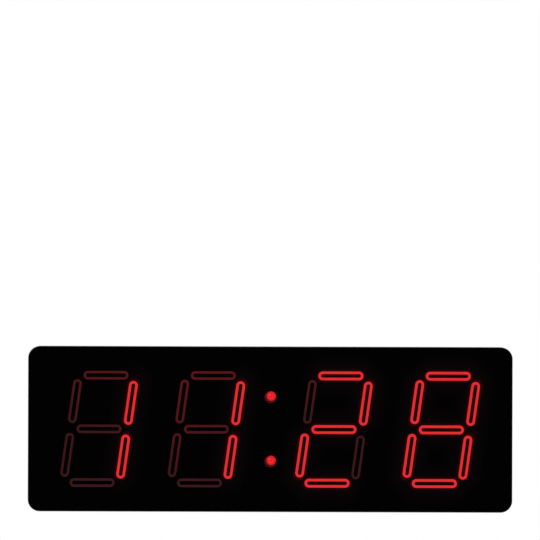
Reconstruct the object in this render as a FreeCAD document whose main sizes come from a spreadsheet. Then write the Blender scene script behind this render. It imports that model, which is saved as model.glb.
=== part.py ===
import FreeCAD, Part
import math
import operator
import os
from types import SimpleNamespace

import Sketcher
from FreeCAD import Placement, Rotation, Vector

# A wall clock with four large seven-segment digits, in millimetres.
#
# X runs to the viewer's right and Z up. The wall is the plane Y = 0 and the clock stands out from it
# towards -Y. The origin lies on the wall, midway between the two keyholes that hang the clock.
# Each piece is built from outlines parallel to the wall: a height is a distance out from the wall, and
# x and z are counted from the middle of the clock.

SIZES = {
    # case
    "case_width": 510,
    "case_height": 174,
    "case_depth": 35,
    "corner_radius": 12.5,
    "hang_height": 52,
    # front panel: plate, rounded rim, window edges, and the lip that finds the cover
    "panel_thick": 3,
    "panel_edge": 0.8,
    "window_edge": 0.25,
    "lip_depth": 3,
    "lip_wall": 1.6,
    "lip_gap": 0.15,
    # back cover: walls, rounded rear edge, and the shadow line where it meets the panel
    "cover_wall": 2.5,
    "cover_edge": 4,
    "seam_width": 0.8,
    "seam_depth": 0.5,
    # digits: spacings, leans in degrees of the posts and of the row of bars, and the ring round a segment
    "digit_pitch": 113,
    "pair_pitch": 247.3,
    "row_pitch": 56.5,
    "column_pitch": 59.1,
    "column_shift": 0.85,
    "slant": 8,
    "bar_slant": 7.2,
    "bar_length": 38.2,
    "post_length": 37.3,
    "ring_radius": 3.25,
    "ring_line": 2.6,
    # light guides and the black cores inside them
    "guide_gap": 0.05,
    "guide_depth": 9,
    "guide_floor": 2,
    "flange_width": 1.4,
    "flange_thick": 1.2,
    "core_gap": 0.03,
    # light baffle
    "baffle_width": 452,
    "baffle_height": 127,
    "baffle_plate": 2,
    "baffle_wall": 1.5,
    "baffle_gap": 0.25,
    # colon: round holes, and 10 mm lamps that lean up and to the right in them
    "colon_pitch": 67.7,
    "colon_x": 0.22,
    "colon_rise": 0.12,
    "colon_hole": 6.4,
    "lean_right": 0.85,
    "lean_up": 0.9,
    "lamp_radius": 5,
    "lamp_length": 13.3,
    "lamp_recess": 0.3,
    "lamp_rim": 5.75,
    "lamp_rim_thick": 1,
    "leg_width": 0.5,
    "leg_pitch": 2.54,
    "leg_out": 1.5,
    "leg_hole": 0.5,
    # circuit boards
    "board_thick": 1.6,
    "display_board_width": 458,
    "display_board_height": 141,
    "control_board_width": 124,
    "control_board_height": 58,
    "control_board_height_off_wall": 14.6,
    # small surface lamps behind the segments
    "chip_lamp_length": 3.5,
    "chip_lamp_width": 2.8,
    "chip_lamp_thick": 1.9,
    "chip_lamp_pitch": 14,
    # parts soldered to the boards
    "driver_chip_length": 13,
    "driver_chip_x": 110,
    "driver_chip_drop": 10,
    "control_chip_length": 18,
    "control_chip_x": 24,
    "control_chip_rise": 13,
    "chip_width": 7.5,
    "chip_thick": 2.3,
    "chip_leg_pitch": 1.27,
    "chip_leg_width": 0.42,
    "chip_leg_reach": 1.4,
    "chip_leg_thick": 0.25,
    "resistor_length": 2,
    "resistor_width": 1.25,
    "resistor_thick": 0.55,
    "resistor_pitch": 5,
    "resistor_drop": 40,
    "crystal_length": 6.5,
    "crystal_radius": 1.9,
    "crystal_thick": 3.5,
    "crystal_edge": 0.4,
    "crystal_rise": 12,
    "capacitor_radius": 4,
    "capacitor_thick": 9,
    "capacitor_x": 52,
    "capacitor_pitch": 14,
    # ribbon cable and its headers
    "header_width": 8,
    "header_length": 16,
    "header_thick": 8.5,
    "control_header_x": 57,
    "display_header_x": 88,
    "header_rise": 7,
    "ribbon_width": 12.7,
    "ribbon_thick": 0.9,
    "ribbon_off_board": 4.4,
    "ribbon_bend": 8,
    # housing screws, driven from the back through wells in the cover into bosses on the panel
    "screw_pitch_x": 160,
    "screw_pitch_z": 152,
    "screw_radius": 1.45,
    "screw_length": 12,
    "screw_head_radius": 2.8,
    "screw_head_thick": 2.2,
    "screw_play": 0.05,
    "screw_hole_play": 0.25,
    "screw_end_room": 1,
    "boss_radius": 4,
    "well_radius": 3.3,
    "well_depth": 10,
    "well_floor": 2,
    "well_wall": 2.2,
    "cross_length": 3.4,
    "cross_width": 0.8,
    "cross_depth": 1.1,
    # board screws
    "board_screw_pitch_x": 143,
    "board_screw_pitch_z": 134,
    "control_screw_pitch_x": 112,
    "control_screw_pitch_z": 46,
    "board_screw_radius": 1.2,
    "board_screw_length": 7,
    "board_screw_head_radius": 2.4,
    "board_screw_head_thick": 1.7,
    "board_boss_radius": 3,
    # keyholes
    "keyhole_pitch": 320,
    "keyhole_radius": 5,
    "keyhole_slot": 2.25,
    "keyhole_rise": 9,
    "keyhole_pocket_width": 14,
    "keyhole_pocket_depth": 6,
    "keyhole_pocket_wall": 1.6,
    # air slots, in four groups
    "vent_width": 2.4,
    "vent_height": 20,
    "vent_pitch": 6,
    "vent_group_pitch_x": 220,
    "vent_group_pitch_z": 104,
    # plug bay and the power inlet at its top
    "bay_x": 40,
    "bay_width": 18,
    "bay_depth": 14,
    "bay_height": 37,
    "bay_wall": 2,
    "jack_width": 9,
    "jack_length": 11,
    "jack_axis": 6.5,
    "jack_nose": 4,
    "jack_nose_gap": 0.15,
    "jack_bore": 3.15,
    "jack_bore_depth": 10,
    "jack_pin_radius": 1,
    "jack_pin_length": 9,
    # push buttons and the key switches under them
    "button_pitch": 18,
    "first_button_x": -6,
    "button_rise": 22,
    "button_radius": 4.2,
    "button_gap": 0.15,
    "button_recess": 0.4,
    "button_flange": 5.6,
    "button_flange_thick": 1.2,
    "button_stem": 1.6,
    "button_travel": 0.5,
    "button_edge": 0.4,
    "button_tube_wall": 1.2,
    "button_tube_depth": 4.5,
    "switch_side": 6,
    "switch_thick": 3.5,
    "plunger_radius": 1.7,
    "plunger_gap": 0.1,
    "plunger_out": 2,
    "plunger_in": 0.6,
    # coin cell, its bay and contacts, and the sliding door
    "battery_x": 38,
    "battery_rise": 48,
    "cell_radius": 10,
    "cell_thick": 3.2,
    "cell_step": 0.4,
    "cell_step_thick": 0.3,
    "cell_room": 1,
    "battery_wall": 1.5,
    "battery_floor": 1.2,
    "battery_depth": 7.9,
    "contact_thick": 0.4,
    "contact_width": 4,
    "contact_length": 16,
    "contact_slot_play": 0.3,
    "door_length": 28,
    "door_height": 26,
    "door_thick": 1.2,
    "door_sink": 0.5,
    "door_gap": 0.15,
    "door_clear": 0.1,
    "door_travel": 24,
    "door_tongue": 1,
    "door_tongue_thick": 0.8,
    "door_rib_length": 12,
    "door_rib_width": 1.2,
    "door_rib_pitch": 2.6,
    "door_rib_thick": 0.3,
    "door_backing": 1.2,
}

DIGITS = 4
LAMPS_IN_A_SEGMENT = 3
BUTTONS = ("set", "up", "down", "dimmer")
DRIVER_CHIP_LEGS = 10
CONTROL_CHIP_LEGS = 14
VENTS_IN_A_GROUP = 10
DOOR_RIBS = 3
WINDOW_BEVEL = 45
TOWARDS_FRONT = Vector(0, -1, 0)

document = FreeCAD.newDocument("led_wall_clock")


# A size and the formula that it comes from

OPERATIONS = {"+": operator.add, "-": operator.sub, "*": operator.mul, "/": operator.truediv}


class Measure:
    """A number with the spreadsheet formula that gives it, so that sketches start near their real shape."""

    def __init__(self, value, formula):
        self.value = value
        self.formula = formula

    def __add__(self, other):
        return joined(self, "+", other)

    def __radd__(self, other):
        return joined(other, "+", self)

    def __sub__(self, other):
        return joined(self, "-", other)

    def __rsub__(self, other):
        return joined(other, "-", self)

    def __mul__(self, other):
        return joined(self, "*", other)

    def __rmul__(self, other):
        return joined(other, "*", self)

    def __truediv__(self, other):
        return joined(self, "/", other)

    def __neg__(self):
        return joined(0, "-", self)


def measure(thing):
    """The thing itself if it is a measure, or else a plain number as one."""
    return thing if isinstance(thing, Measure) else Measure(float(thing), str(float(thing)))


def joined(left, sign, right):
    """Two measures joined by an arithmetic sign, in number and in formula."""
    left, right = measure(left), measure(right)
    return Measure(OPERATIONS[sign](left.value, right.value), f"({left.formula} {sign} {right.formula})")


def of_angle(name, angle):
    """The sine, cosine or tangent of an angle in degrees."""
    angle = measure(angle)
    return Measure(getattr(math, name)(math.radians(angle.value)), f"{name}({angle.formula})")


def bind(thing, path, amount):
    """Ties a property of a document object to a measure."""
    thing.setExpression(path, measure(amount).formula)


def fill_sheet():
    """Writes the driving sizes into the spreadsheet and returns them by name."""
    sheet = document.addObject("Spreadsheet::Sheet", "Sizes")
    for row, (name, number) in enumerate(SIZES.items(), start=1):
        sheet.set(f"A{row}", name)
        sheet.set(f"B{row}", str(number))
        sheet.setAlias(f"B{row}", name)
    document.recompute()
    measures = {name: Measure(float(number), f"Sizes.{name}") for name, number in SIZES.items()}
    return SimpleNamespace(**measures)


size = fill_sheet()

# Places that several pieces share, worked out from the sizes

front = size.case_depth
panel_back = front - size.panel_thick
board_front = front - size.lamp_recess - size.lamp_length
display_board_back = board_front - size.board_thick
control_board_back = size.control_board_height_off_wall
control_board_front = control_board_back + size.board_thick

ring_outer = size.ring_radius + size.ring_line / 2
ring_inner = size.ring_radius - size.ring_line / 2
guide_back = front - size.guide_depth
flange_back = panel_back - size.flange_thick
core_back = guide_back + size.guide_floor
baffle_bore = ring_outer + size.baffle_gap

boss_joint = size.well_depth + size.well_floor
first_screw = (-1.5 * size.screw_pitch_x, -size.screw_pitch_z / 2)
first_board_screw = (-1.5 * size.board_screw_pitch_x, -size.board_screw_pitch_z / 2)

bay_x = -size.bay_x
bay_top = size.bay_height - size.case_height / 2
control_board_z = bay_top + size.bay_wall + size.control_board_height / 2
first_control_screw = (-size.control_screw_pitch_x / 2, control_board_z - size.control_screw_pitch_z / 2)
jack_height = control_board_back - size.jack_axis
button_z = bay_top + size.button_rise
battery_z = bay_top + size.battery_rise

switch_back = control_board_back - size.switch_thick
plunger_back = switch_back - size.plunger_out
flange_top = size.cover_wall + size.button_flange_thick

battery_side = 2 * (size.cell_radius + size.cell_room)
cell_front = size.battery_depth - size.contact_thick
cell_back = cell_front - size.cell_thick
door_inner = size.door_sink + size.door_thick
door_recess = door_inner + size.door_clear
leg_x = (size.contact_thick - size.contact_length) / 2
rim_contact = size.cell_radius + size.contact_thick / 2

first_digit_x = -(size.pair_pitch + size.digit_pitch) / 2
DIGIT_STEPS = (("X", size.digit_pitch, 2), ("X", size.pair_pitch, 2))
SCREW_STEPS = (("X", size.screw_pitch_x, 4), ("Z", size.screw_pitch_z, 2))
BOARD_SCREW_STEPS = (("X", size.board_screw_pitch_x, 4), ("Z", size.board_screw_pitch_z, 2))
CONTROL_SCREW_STEPS = (("X", size.control_screw_pitch_x, 2), ("Z", size.control_screw_pitch_z, 2))


# Outlines, each drawn at a place in its sketch

ORIGIN = (-1, 1)


def hold(sketch, kind, *where, amount):
    """A dimension in a sketch, tied to a measure."""
    index = sketch.addConstraint(Sketcher.Constraint(kind, *where, measure(amount).value))
    bind(sketch, f"Constraints[{index}]", amount)


def draw_rectangle(sketch, width, height, corner, x, z):
    """Four sides about a place, joined by arcs where a corner radius is given."""
    left, right = x - width / 2, x + width / 2
    low, high = z - height / 2, z + height / 2
    w, e, b, t = left.value, right.value, low.value, high.value
    r = corner.value if corner else 0
    spans = (
        ((w + r, b), (e - r, b)),
        ((e, b + r), (e, t - r)),
        ((e - r, t), (w + r, t)),
        ((w, t - r), (w, b + r)),
    )
    lines = [Part.LineSegment(Vector(*start, 0), Vector(*end, 0)) for start, end in spans]
    sides = sketch.addGeometry(lines, False)
    if corner:
        middles = ((e - r, b + r), (e - r, t - r), (w + r, t - r), (w + r, b + r))
        circles = [Part.Circle(Vector(*middle, 0), Vector(0, 0, 1), r) for middle in middles]
        turns = [(quarter - 1) * math.pi / 2 for quarter in range(4)]
        quarters = [Part.ArcOfCircle(whole, turn, turn + math.pi / 2) for whole, turn in zip(circles, turns)]
        arcs = sketch.addGeometry(quarters, False)
        hold(sketch, "Radius", arcs[0], amount=corner)
        for side, arc, after in zip(sides, arcs, sides[1:] + sides[:1]):
            sketch.addConstraint(Sketcher.Constraint("Tangent", side, 2, arc, 1))
            sketch.addConstraint(Sketcher.Constraint("Tangent", arc, 2, after, 1))
        for arc in arcs[1:]:
            sketch.addConstraint(Sketcher.Constraint("Equal", arcs[0], arc))
    else:
        for side, after in zip(sides, sides[1:] + sides[:1]):
            sketch.addConstraint(Sketcher.Constraint("Coincident", side, 2, after, 1))
    for side, direction in zip(sides, ("Horizontal", "Vertical", "Horizontal", "Vertical")):
        sketch.addConstraint(Sketcher.Constraint(direction, side))
    places = zip(sides, ("DistanceY", "DistanceX", "DistanceY", "DistanceX"), (low, right, high, left))
    for side, kind, amount in places:
        hold(sketch, kind, *ORIGIN, side, 1, amount=amount)


def rectangle(width, height, corner=None, x=0, z=0):
    """A rectangle, with rounded corners if a radius is given."""
    width, height, x, z = measure(width), measure(height), measure(x), measure(z)
    return lambda sketch: draw_rectangle(sketch, width, height, corner, x, z)


def stadium(start, end, radius):
    """Two half circles about a start and an end, joined by straight sides."""
    start, end = [(measure(x), measure(z)) for x, z in (start, end)]

    def draw(sketch):
        first, last = [Vector(x.value, z.value, 0) for x, z in (start, end)]
        along = (last - first).normalize()
        aside = Vector(-along.y, along.x, 0) * radius.value
        turn = math.atan2(along.y, along.x)
        right, left = [Part.Circle(middle, Vector(0, 0, 1), radius.value) for middle in (last, first)]
        side, cap, back, tail = sketch.addGeometry(
            [
                Part.LineSegment(first + aside, last + aside),
                Part.ArcOfCircle(right, turn - math.pi / 2, turn + math.pi / 2),
                Part.LineSegment(last - aside, first - aside),
                Part.ArcOfCircle(left, turn + math.pi / 2, turn + 3 * math.pi / 2),
            ],
            False,
        )
        for joint in ((side, 2, cap, 2), (cap, 1, back, 1), (back, 2, tail, 2), (tail, 1, side, 1)):
            sketch.addConstraint(Sketcher.Constraint("Tangent", *joint))
        hold(sketch, "Radius", cap, amount=radius)
        for arc, (x, z) in ((cap, end), (tail, start)):
            hold(sketch, "DistanceX", *ORIGIN, arc, 3, amount=x)
            hold(sketch, "DistanceY", *ORIGIN, arc, 3, amount=z)

    return draw


def circle(radius, x=0, z=0):
    """A circle at a place."""
    radius, x, z = measure(radius), measure(x), measure(z)

    def draw(sketch):
        middle = Vector(x.value, z.value, 0)
        ring = sketch.addGeometry(Part.Circle(middle, Vector(0, 0, 1), radius.value), False)
        hold(sketch, "Radius", ring, amount=radius)
        hold(sketch, "DistanceX", *ORIGIN, ring, 3, amount=x)
        hold(sketch, "DistanceY", *ORIGIN, ring, 3, amount=z)

    return draw


def together(*outlines):
    """Several outlines in one sketch. One inside another leaves the ring between them."""

    def draw(sketch):
        for outline in outlines:
            outline(sketch)

    return draw


def frame(width, height, wall, corner):
    """A rounded rectangle with a smaller one inside it, a wall apart."""
    return together(
        rectangle(width, height, corner), rectangle(width - 2 * wall, height - 2 * wall, corner - wall)
    )


# A piece of the clock


def lies_at(face, height):
    """Whether a face lies flat at a height out from the wall."""
    box = face.BoundBox
    return box.YLength < 1e-6 and abs(box.YMin + height) < 1e-6


class Piece:
    """One separate piece: a body of material added and cut away in outlines parallel to the wall."""

    def __init__(self, label, x=0, z=0, turn=0):
        self.body = document.addObject("PartDesign::Body", label)
        self.body.Label = label
        if turn:
            self.body.Placement = Placement(Vector(), Rotation(TOWARDS_FRONT, 1))
            bind(self.body, "Placement.Rotation.Angle", turn)
        bind(self.body, "Placement.Base.x", x)
        bind(self.body, "Placement.Base.z", z - size.hang_height)

    def datum(self, role):
        """The plane or axis of the body's own origin that has this role."""
        return next(item for item in self.body.Origin.OriginFeatures if item.Role == role)

    def sketch(self, draw, plane, out):
        """A sketch parallel to an origin plane, a distance out from it."""
        sketch = self.body.newObject("Sketcher::SketchObject", self.body.Label + "_sketch")
        sketch.AttachmentSupport = [(self.datum(plane), "")]
        sketch.MapMode = "FlatFace"
        bind(sketch, "AttachmentOffset.Base.z", out)
        draw(sketch)
        return sketch

    def feature(self, kind, sketch, length):
        """A pad or pocket of a sketch."""
        feature = self.body.newObject(f"PartDesign::{kind}", f"{self.body.Label}_{kind.lower()}")
        feature.Profile = sketch
        bind(feature, "Length", length)
        return feature

    def add(self, draw, low, thick):
        """Material in an outline, from a height out from the wall and so thick towards the front."""
        return self.feature("Pad", self.sketch(draw, "XZ_Plane", low), thick)

    def cut(self, draw, low, thick):
        """An opening in an outline, over the same heights as add."""
        return self.feature("Pocket", self.sketch(draw, "XZ_Plane", low + thick), thick)

    def add_upright(self, draw, low_z, tall):
        """Material in a level outline, whose second place is minus the height, from low_z upwards."""
        return self.feature("Pad", self.sketch(draw, "XY_Plane", low_z), tall)

    def cut_upright(self, draw, low_z, tall):
        """An opening in a level outline, over the same places as add_upright."""
        return self.feature("Pocket", self.sketch(draw, "XY_Plane", low_z + tall), tall)

    def add_ball(self, radius, height):
        """A ball centred in front of the body's origin."""
        ball = self.body.newObject("PartDesign::AdditiveSphere", self.body.Label + "_ball")
        ball.AttachmentSupport = [(self.datum("XZ_Plane"), "")]
        ball.MapMode = "FlatFace"
        bind(ball, "AttachmentOffset.Base.z", height)
        bind(ball, "Radius", radius)

    def repeat(self, features, *steps):
        """Copies of some features along X and Z, each step an axis, a spacing and a count."""
        pattern = self.body.newObject("PartDesign::MultiTransform", self.body.Label + "_pattern")
        pattern.Originals = features
        rows = []
        for axis, spacing, count in steps:
            row = self.body.newObject("PartDesign::LinearPattern", f"{self.body.Label}_row")
            row.Direction = (self.datum(f"{axis}_Axis"), [""])
            row.Mode = "Spacing"
            bind(row, "Offset", spacing)
            row.Occurrences = count
            rows.append(row)
        pattern.Transformations = rows
        self.body.Tip = pattern

    def round_edges(self, height, radius):
        """Rounds the edges of the face at a height out from the wall."""
        document.recompute()
        base = self.body.Tip
        level = measure(height).value
        faces = enumerate(base.Shape.Faces, start=1)
        names = [f"Face{number}" for number, face in faces if lies_at(face, level)]
        fillet = self.body.newObject("PartDesign::Fillet", self.body.Label + "_fillet")
        fillet.Base = (base, names)
        bind(fillet, "Radius", radius)


# The seven segments of a digit


def segments_of_a_digit():
    """Each segment's middle, straight length, turn and direction, from the middle of its digit, by letter."""
    lean = of_angle("tan", size.slant)
    bar_lean = of_angle("tan", size.bar_slant)
    half_row = size.row_pitch / 2

    def bar(z):
        level = {"turn": 0, "across": measure(1), "up": measure(0)}
        return SimpleNamespace(x=z * bar_lean, z=z, length=size.bar_length, **level)

    def post(side, z):
        z = z - side * size.column_shift
        return SimpleNamespace(
            x=side * size.column_pitch / 2 + z * lean,
            z=z,
            length=size.post_length,
            turn=90 - size.slant,
            across=of_angle("sin", size.slant),
            up=of_angle("cos", size.slant),
        )

    return {
        "a": bar(size.row_pitch),
        "b": post(1, half_row),
        "c": post(1, -half_row),
        "d": bar(-size.row_pitch),
        "e": post(-1, -half_row),
        "f": post(-1, half_row),
        "g": bar(measure(0)),
    }


SEGMENTS = segments_of_a_digit()
BARS = "adg"


def digit_x(index):
    """The middle of a digit, counted from the left."""
    return first_digit_x + (index % 2) * size.digit_pitch + (index // 2) * size.pair_pitch


def along(segment, distance):
    """A place on a segment of the first digit, a distance from its middle."""
    return first_digit_x + segment.x + distance * segment.across, segment.z + distance * segment.up


def seven_segments(radius):
    """The outline of every segment of the first digit, at a half width."""
    outlines = []
    for segment in SEGMENTS.values():
        reach = segment.length / 2
        outlines.append(stadium(along(segment, -reach), along(segment, reach), radius))
    return together(*outlines)


# Front


def build_front_panel():
    """Gloss plate with a window for each segment and two colon holes; lip and screw bosses behind."""
    panel = Piece("front_panel")
    panel.add(rectangle(size.case_width, size.case_height, size.corner_radius), panel_back, size.panel_thick)
    panel.round_edges(front, size.panel_edge)
    inset = size.cover_wall + size.lip_gap
    lip = frame(
        size.case_width - 2 * inset, size.case_height - 2 * inset, size.lip_wall, size.corner_radius - inset
    )
    panel.add(lip, panel_back - size.lip_depth, size.lip_depth)

    pilot = circle(size.screw_radius + size.screw_play, *first_screw)
    pilot_depth = size.screw_length - size.well_floor + size.screw_end_room
    features = [
        panel.add(circle(size.boss_radius, *first_screw), boss_joint, panel_back - boss_joint),
        panel.cut(pilot, boss_joint, pilot_depth),
    ]
    panel.repeat(features, *SCREW_STEPS)

    pilot = circle(size.board_screw_radius + size.screw_play, *first_board_screw)
    pilot_depth = size.board_screw_length - size.board_thick + size.screw_end_room
    features = [
        panel.add(circle(size.board_boss_radius, *first_board_screw), board_front, panel_back - board_front),
        panel.cut(pilot, board_front, pilot_depth),
    ]
    panel.repeat(features, *BOARD_SCREW_STEPS)

    panel.cut(colon_holes(size.colon_hole), panel_back, size.panel_thick)
    window = ring_outer + size.guide_gap
    bevel = panel.cut(seven_segments(window + size.window_edge), front - size.window_edge, size.window_edge)
    bevel.TaperAngle = WINDOW_BEVEL
    windows = panel.cut(seven_segments(window), panel_back, size.panel_thick)
    panel.repeat([bevel, windows], *DIGIT_STEPS)


def colon_holes(radius):
    """Circles at the two dots of the colon."""
    half = size.colon_pitch / 2
    return together(*(circle(radius, size.colon_x, side * half + size.colon_rise) for side in (-1, 1)))


def build_light_guide(index, letter):
    """One red segment: a stadium flush with the panel, its rim a ring round the slot for the core."""
    segment = SEGMENTS[letter]
    reach = segment.length / 2
    ends = (-reach, 0), (reach, 0)
    guide = Piece(f"digit_{index + 1}_segment_{letter}", digit_x(index) + segment.x, segment.z, segment.turn)
    guide.add(stadium(*ends, ring_outer), guide_back, size.guide_depth)
    guide.add(stadium(*ends, ring_outer + size.flange_width), flange_back, size.flange_thick)
    guide.cut(stadium(*ends, ring_inner), core_back, front - core_back)


def build_segment_cores():
    """The black cores that fill the slots of the light guides, flush with the front."""
    cores = Piece("segment_cores")
    slugs = cores.add(seven_segments(ring_inner - size.core_gap), core_back, front - core_back)
    cores.repeat([slugs], *DIGIT_STEPS)


def build_light_baffle():
    """A plate on the display board with a collar round each light guide and a seat for each colon lamp."""
    baffle = Piece("light_baffle")
    outline = rectangle(size.baffle_width, size.baffle_height, size.corner_radius)
    baffle.add(outline, board_front, size.baffle_plate)
    plate_front = board_front + size.baffle_plate
    colon_bore = size.colon_hole + size.baffle_gap
    baffle.add(colon_holes(colon_bore + size.baffle_wall), plate_front, panel_back - plate_front)
    baffle.cut(colon_holes(colon_bore), board_front, panel_back - board_front)
    seats = together(*(circle(size.lamp_rim + size.baffle_gap, *lamp_place(side)) for side in (-1, 1)))
    baffle.cut(seats, board_front, size.lamp_rim_thick + size.baffle_gap)
    collar = seven_segments(baffle_bore + size.baffle_wall)
    features = [
        baffle.add(collar, plate_front, flange_back - plate_front),
        baffle.cut(seven_segments(baffle_bore), board_front, flange_back - board_front),
    ]
    baffle.repeat(features, *DIGIT_STEPS)


def lamp_place(side):
    """Where a colon lamp stands: off the middle of its hole, up and to the right."""
    x = size.colon_x + size.lean_right
    z = side * size.colon_pitch / 2 + size.colon_rise + size.lean_up
    return x, z


def build_colon_lamp(label, side):
    """A domed lamp on the display board, its two legs through the board."""
    lamp = Piece(label, *lamp_place(side))
    lamp.add(circle(size.lamp_rim), board_front, size.lamp_rim_thick)
    lamp.add(circle(size.lamp_radius), board_front, size.lamp_length - size.lamp_radius)
    lamp.add_ball(size.lamp_radius, board_front + size.lamp_length - size.lamp_radius)
    reach = size.leg_out + size.board_thick
    legs = (rectangle(size.leg_width, size.leg_width, x=side * size.leg_pitch / 2) for side in (-1, 1))
    lamp.add(together(*legs), board_front - reach, reach)


# Display board


def build_display_board():
    """The long board behind the digits, with holes for its screws and for the colon lamps' legs."""
    board = Piece("display_board")
    outline = rectangle(size.display_board_width, size.display_board_height)
    board.add(outline, display_board_back, size.board_thick)
    hole = circle(size.board_screw_radius + size.screw_hole_play, *first_board_screw)
    holes = board.cut(hole, display_board_back, size.board_thick)
    board.repeat([holes], *BOARD_SCREW_STEPS)
    leg_holes = []
    for side in (-1, 1):
        x, z = lamp_place(side)
        leg_holes += [circle(size.leg_hole, x + step * size.leg_pitch / 2, z) for step in (-1, 1)]
    board.cut(together(*leg_holes), display_board_back, size.board_thick)


def build_segment_lamps():
    """Three small surface lamps in the well behind each segment, along bars and up posts."""
    lamps = Piece("segment_lamps")
    chips = []
    sides = (size.chip_lamp_length, size.chip_lamp_width)
    for letter, segment in SEGMENTS.items():
        for step in steps_about_zero(LAMPS_IN_A_SEGMENT):
            x, z = along(segment, step * size.chip_lamp_pitch)
            chips.append(rectangle(*(sides if letter in BARS else sides[::-1]), x=x, z=z))
    first = lamps.add(together(*chips), board_front, size.chip_lamp_thick)
    lamps.repeat([first], *DIGIT_STEPS)


def steps_about_zero(count):
    """Numbers one apart, as many as the count, with zero in the middle."""
    return [index - (count - 1) / 2 for index in range(count)]


def add_chip(piece, length, legs, board_back, x, z):
    """A flat chip on a board's back, with rows of legs that reach out below it."""
    piece.add(rectangle(length, size.chip_width, x=x, z=z), board_back - size.chip_thick, size.chip_thick)
    span = size.chip_width + 2 * size.chip_leg_reach
    places = [x + step * size.chip_leg_pitch for step in steps_about_zero(legs)]
    feet = together(*(rectangle(size.chip_leg_width, span, x=place, z=z) for place in places))
    piece.add(feet, board_back - size.chip_leg_thick, size.chip_leg_thick)


def build_driver_chips():
    """Two lamp drivers on the back of the display board."""
    chips = Piece("driver_chips")
    for side in (-1, 1):
        place = (side * size.driver_chip_x, -size.driver_chip_drop)
        add_chip(chips, size.driver_chip_length, DRIVER_CHIP_LEGS, display_board_back, *place)


def build_resistors():
    """A row of seven resistors behind each digit."""
    resistors = Piece("segment_resistors")
    sides = (size.resistor_width, size.resistor_length)
    row = []
    for step in steps_about_zero(len(SEGMENTS)):
        x = first_digit_x + step * size.resistor_pitch
        row.append(rectangle(*sides, x=x, z=-size.resistor_drop))
    first = resistors.add(together(*row), display_board_back - size.resistor_thick, size.resistor_thick)
    resistors.repeat([first], *DIGIT_STEPS)


# Control board


def build_control_board():
    """The small board near the bottom, screwed to four posts of the back cover."""
    board = Piece("control_board", 0, control_board_z)
    outline = rectangle(size.control_board_width, size.control_board_height)
    board.add(outline, control_board_back, size.board_thick)
    half_x, half_z = size.control_screw_pitch_x / 2, size.control_screw_pitch_z / 2
    corners = [(x * half_x, z * half_z) for x in (-1, 1) for z in (-1, 1)]
    holes = [circle(size.board_screw_radius + size.screw_hole_play, *corner) for corner in corners]
    board.cut(together(*holes), control_board_back, size.board_thick)


def build_control_chip():
    """The clock's controller."""
    chip = Piece("control_chip", -size.control_chip_x, control_board_z + size.control_chip_rise)
    add_chip(chip, size.control_chip_length, CONTROL_CHIP_LEGS, control_board_back, 0, 0)


def build_crystal():
    """The crystal can that sets the clock's rate."""
    crystal = Piece("clock_crystal", 0, control_board_z + size.crystal_rise)
    low = control_board_back - size.crystal_thick
    reach = size.crystal_length / 2
    crystal.add(stadium((-reach, 0), (reach, 0), size.crystal_radius), low, size.crystal_thick)
    crystal.round_edges(low, size.crystal_edge)


def build_capacitors():
    """Two smoothing capacitors that stand on the board beside the power inlet."""
    capacitors = Piece("capacitors", -size.capacitor_x, control_board_z)
    low = control_board_back - size.capacitor_thick
    cans = [circle(size.capacitor_radius, 0, side * size.capacitor_pitch / 2) for side in (-1, 1)]
    capacitors.add(together(*cans), low, size.capacitor_thick)


def build_headers():
    """The two plugs that the ribbon cable ends in, one on the back of each board."""
    headers = Piece("ribbon_headers", 0, control_board_z + size.header_rise)
    seats = ((size.control_header_x, control_board_back), (size.display_header_x, display_board_back))
    for x, board_back in seats:
        outline = rectangle(size.header_width, size.header_length, x=x)
        headers.add(outline, board_back - size.header_thick, size.header_thick)


def ribbon_line(start_x, low, reach, drop, bend):
    """Two level runs joined by two equal arcs, from a start to reach across and drop forward."""

    def draw(sketch):
        turn = math.acos(1 - drop.value / bend.value / 2)
        run = reach.value / 2 - bend.value * math.sin(turn)
        x, y = start_x.value, -low.value
        end_x, end_y = x + reach.value, y - drop.value
        first = Part.Circle(Vector(x + run, y - bend.value, 0), Vector(0, 0, 1), bend.value)
        second = Part.Circle(Vector(end_x - run, end_y + bend.value, 0), Vector(0, 0, 1), bend.value)
        start, over, under, end = sketch.addGeometry(
            [
                Part.LineSegment(Vector(x, y, 0), Vector(x + run, y, 0)),
                Part.ArcOfCircle(first, math.pi / 2 - turn, math.pi / 2),
                Part.ArcOfCircle(second, 3 * math.pi / 2 - turn, 3 * math.pi / 2),
                Part.LineSegment(Vector(end_x - run, end_y, 0), Vector(end_x, end_y, 0)),
            ],
            False,
        )
        for joint in ((start, 2, over, 2), (over, 1, under, 1), (under, 2, end, 1)):
            sketch.addConstraint(Sketcher.Constraint("Tangent", *joint))
        for line in (start, end):
            sketch.addConstraint(Sketcher.Constraint("Horizontal", line))
        sketch.addConstraint(Sketcher.Constraint("Equal", over, under))
        sketch.addConstraint(Sketcher.Constraint("Equal", start, end))
        hold(sketch, "Radius", over, amount=bend)
        ends = ((start, 1, start_x, -low), (end, 2, start_x + reach, -low - drop))
        for line, point, across, back in ends:
            hold(sketch, "DistanceX", *ORIGIN, line, point, amount=across)
            hold(sketch, "DistanceY", *ORIGIN, line, point, amount=back)

    return draw


def build_ribbon_cable():
    """A flat cable in one S-bend from header to header."""
    ribbon = Piece("ribbon_cable", 0, control_board_z + size.header_rise)
    start_x = size.control_header_x + size.header_width / 2
    end_x = size.display_header_x - size.header_width / 2
    low = control_board_back - size.ribbon_off_board
    drop = display_board_back - control_board_back
    line = ribbon_line(start_x, low, end_x - start_x, drop, size.ribbon_bend)
    pipe = ribbon.body.newObject("PartDesign::AdditivePipe", "ribbon_pipe")
    pipe.Spine = ribbon.sketch(line, "XY_Plane", 0)
    section = rectangle(size.ribbon_thick, size.ribbon_width, x=-low)
    pipe.Profile = ribbon.sketch(section, "YZ_Plane", start_x)


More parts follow.
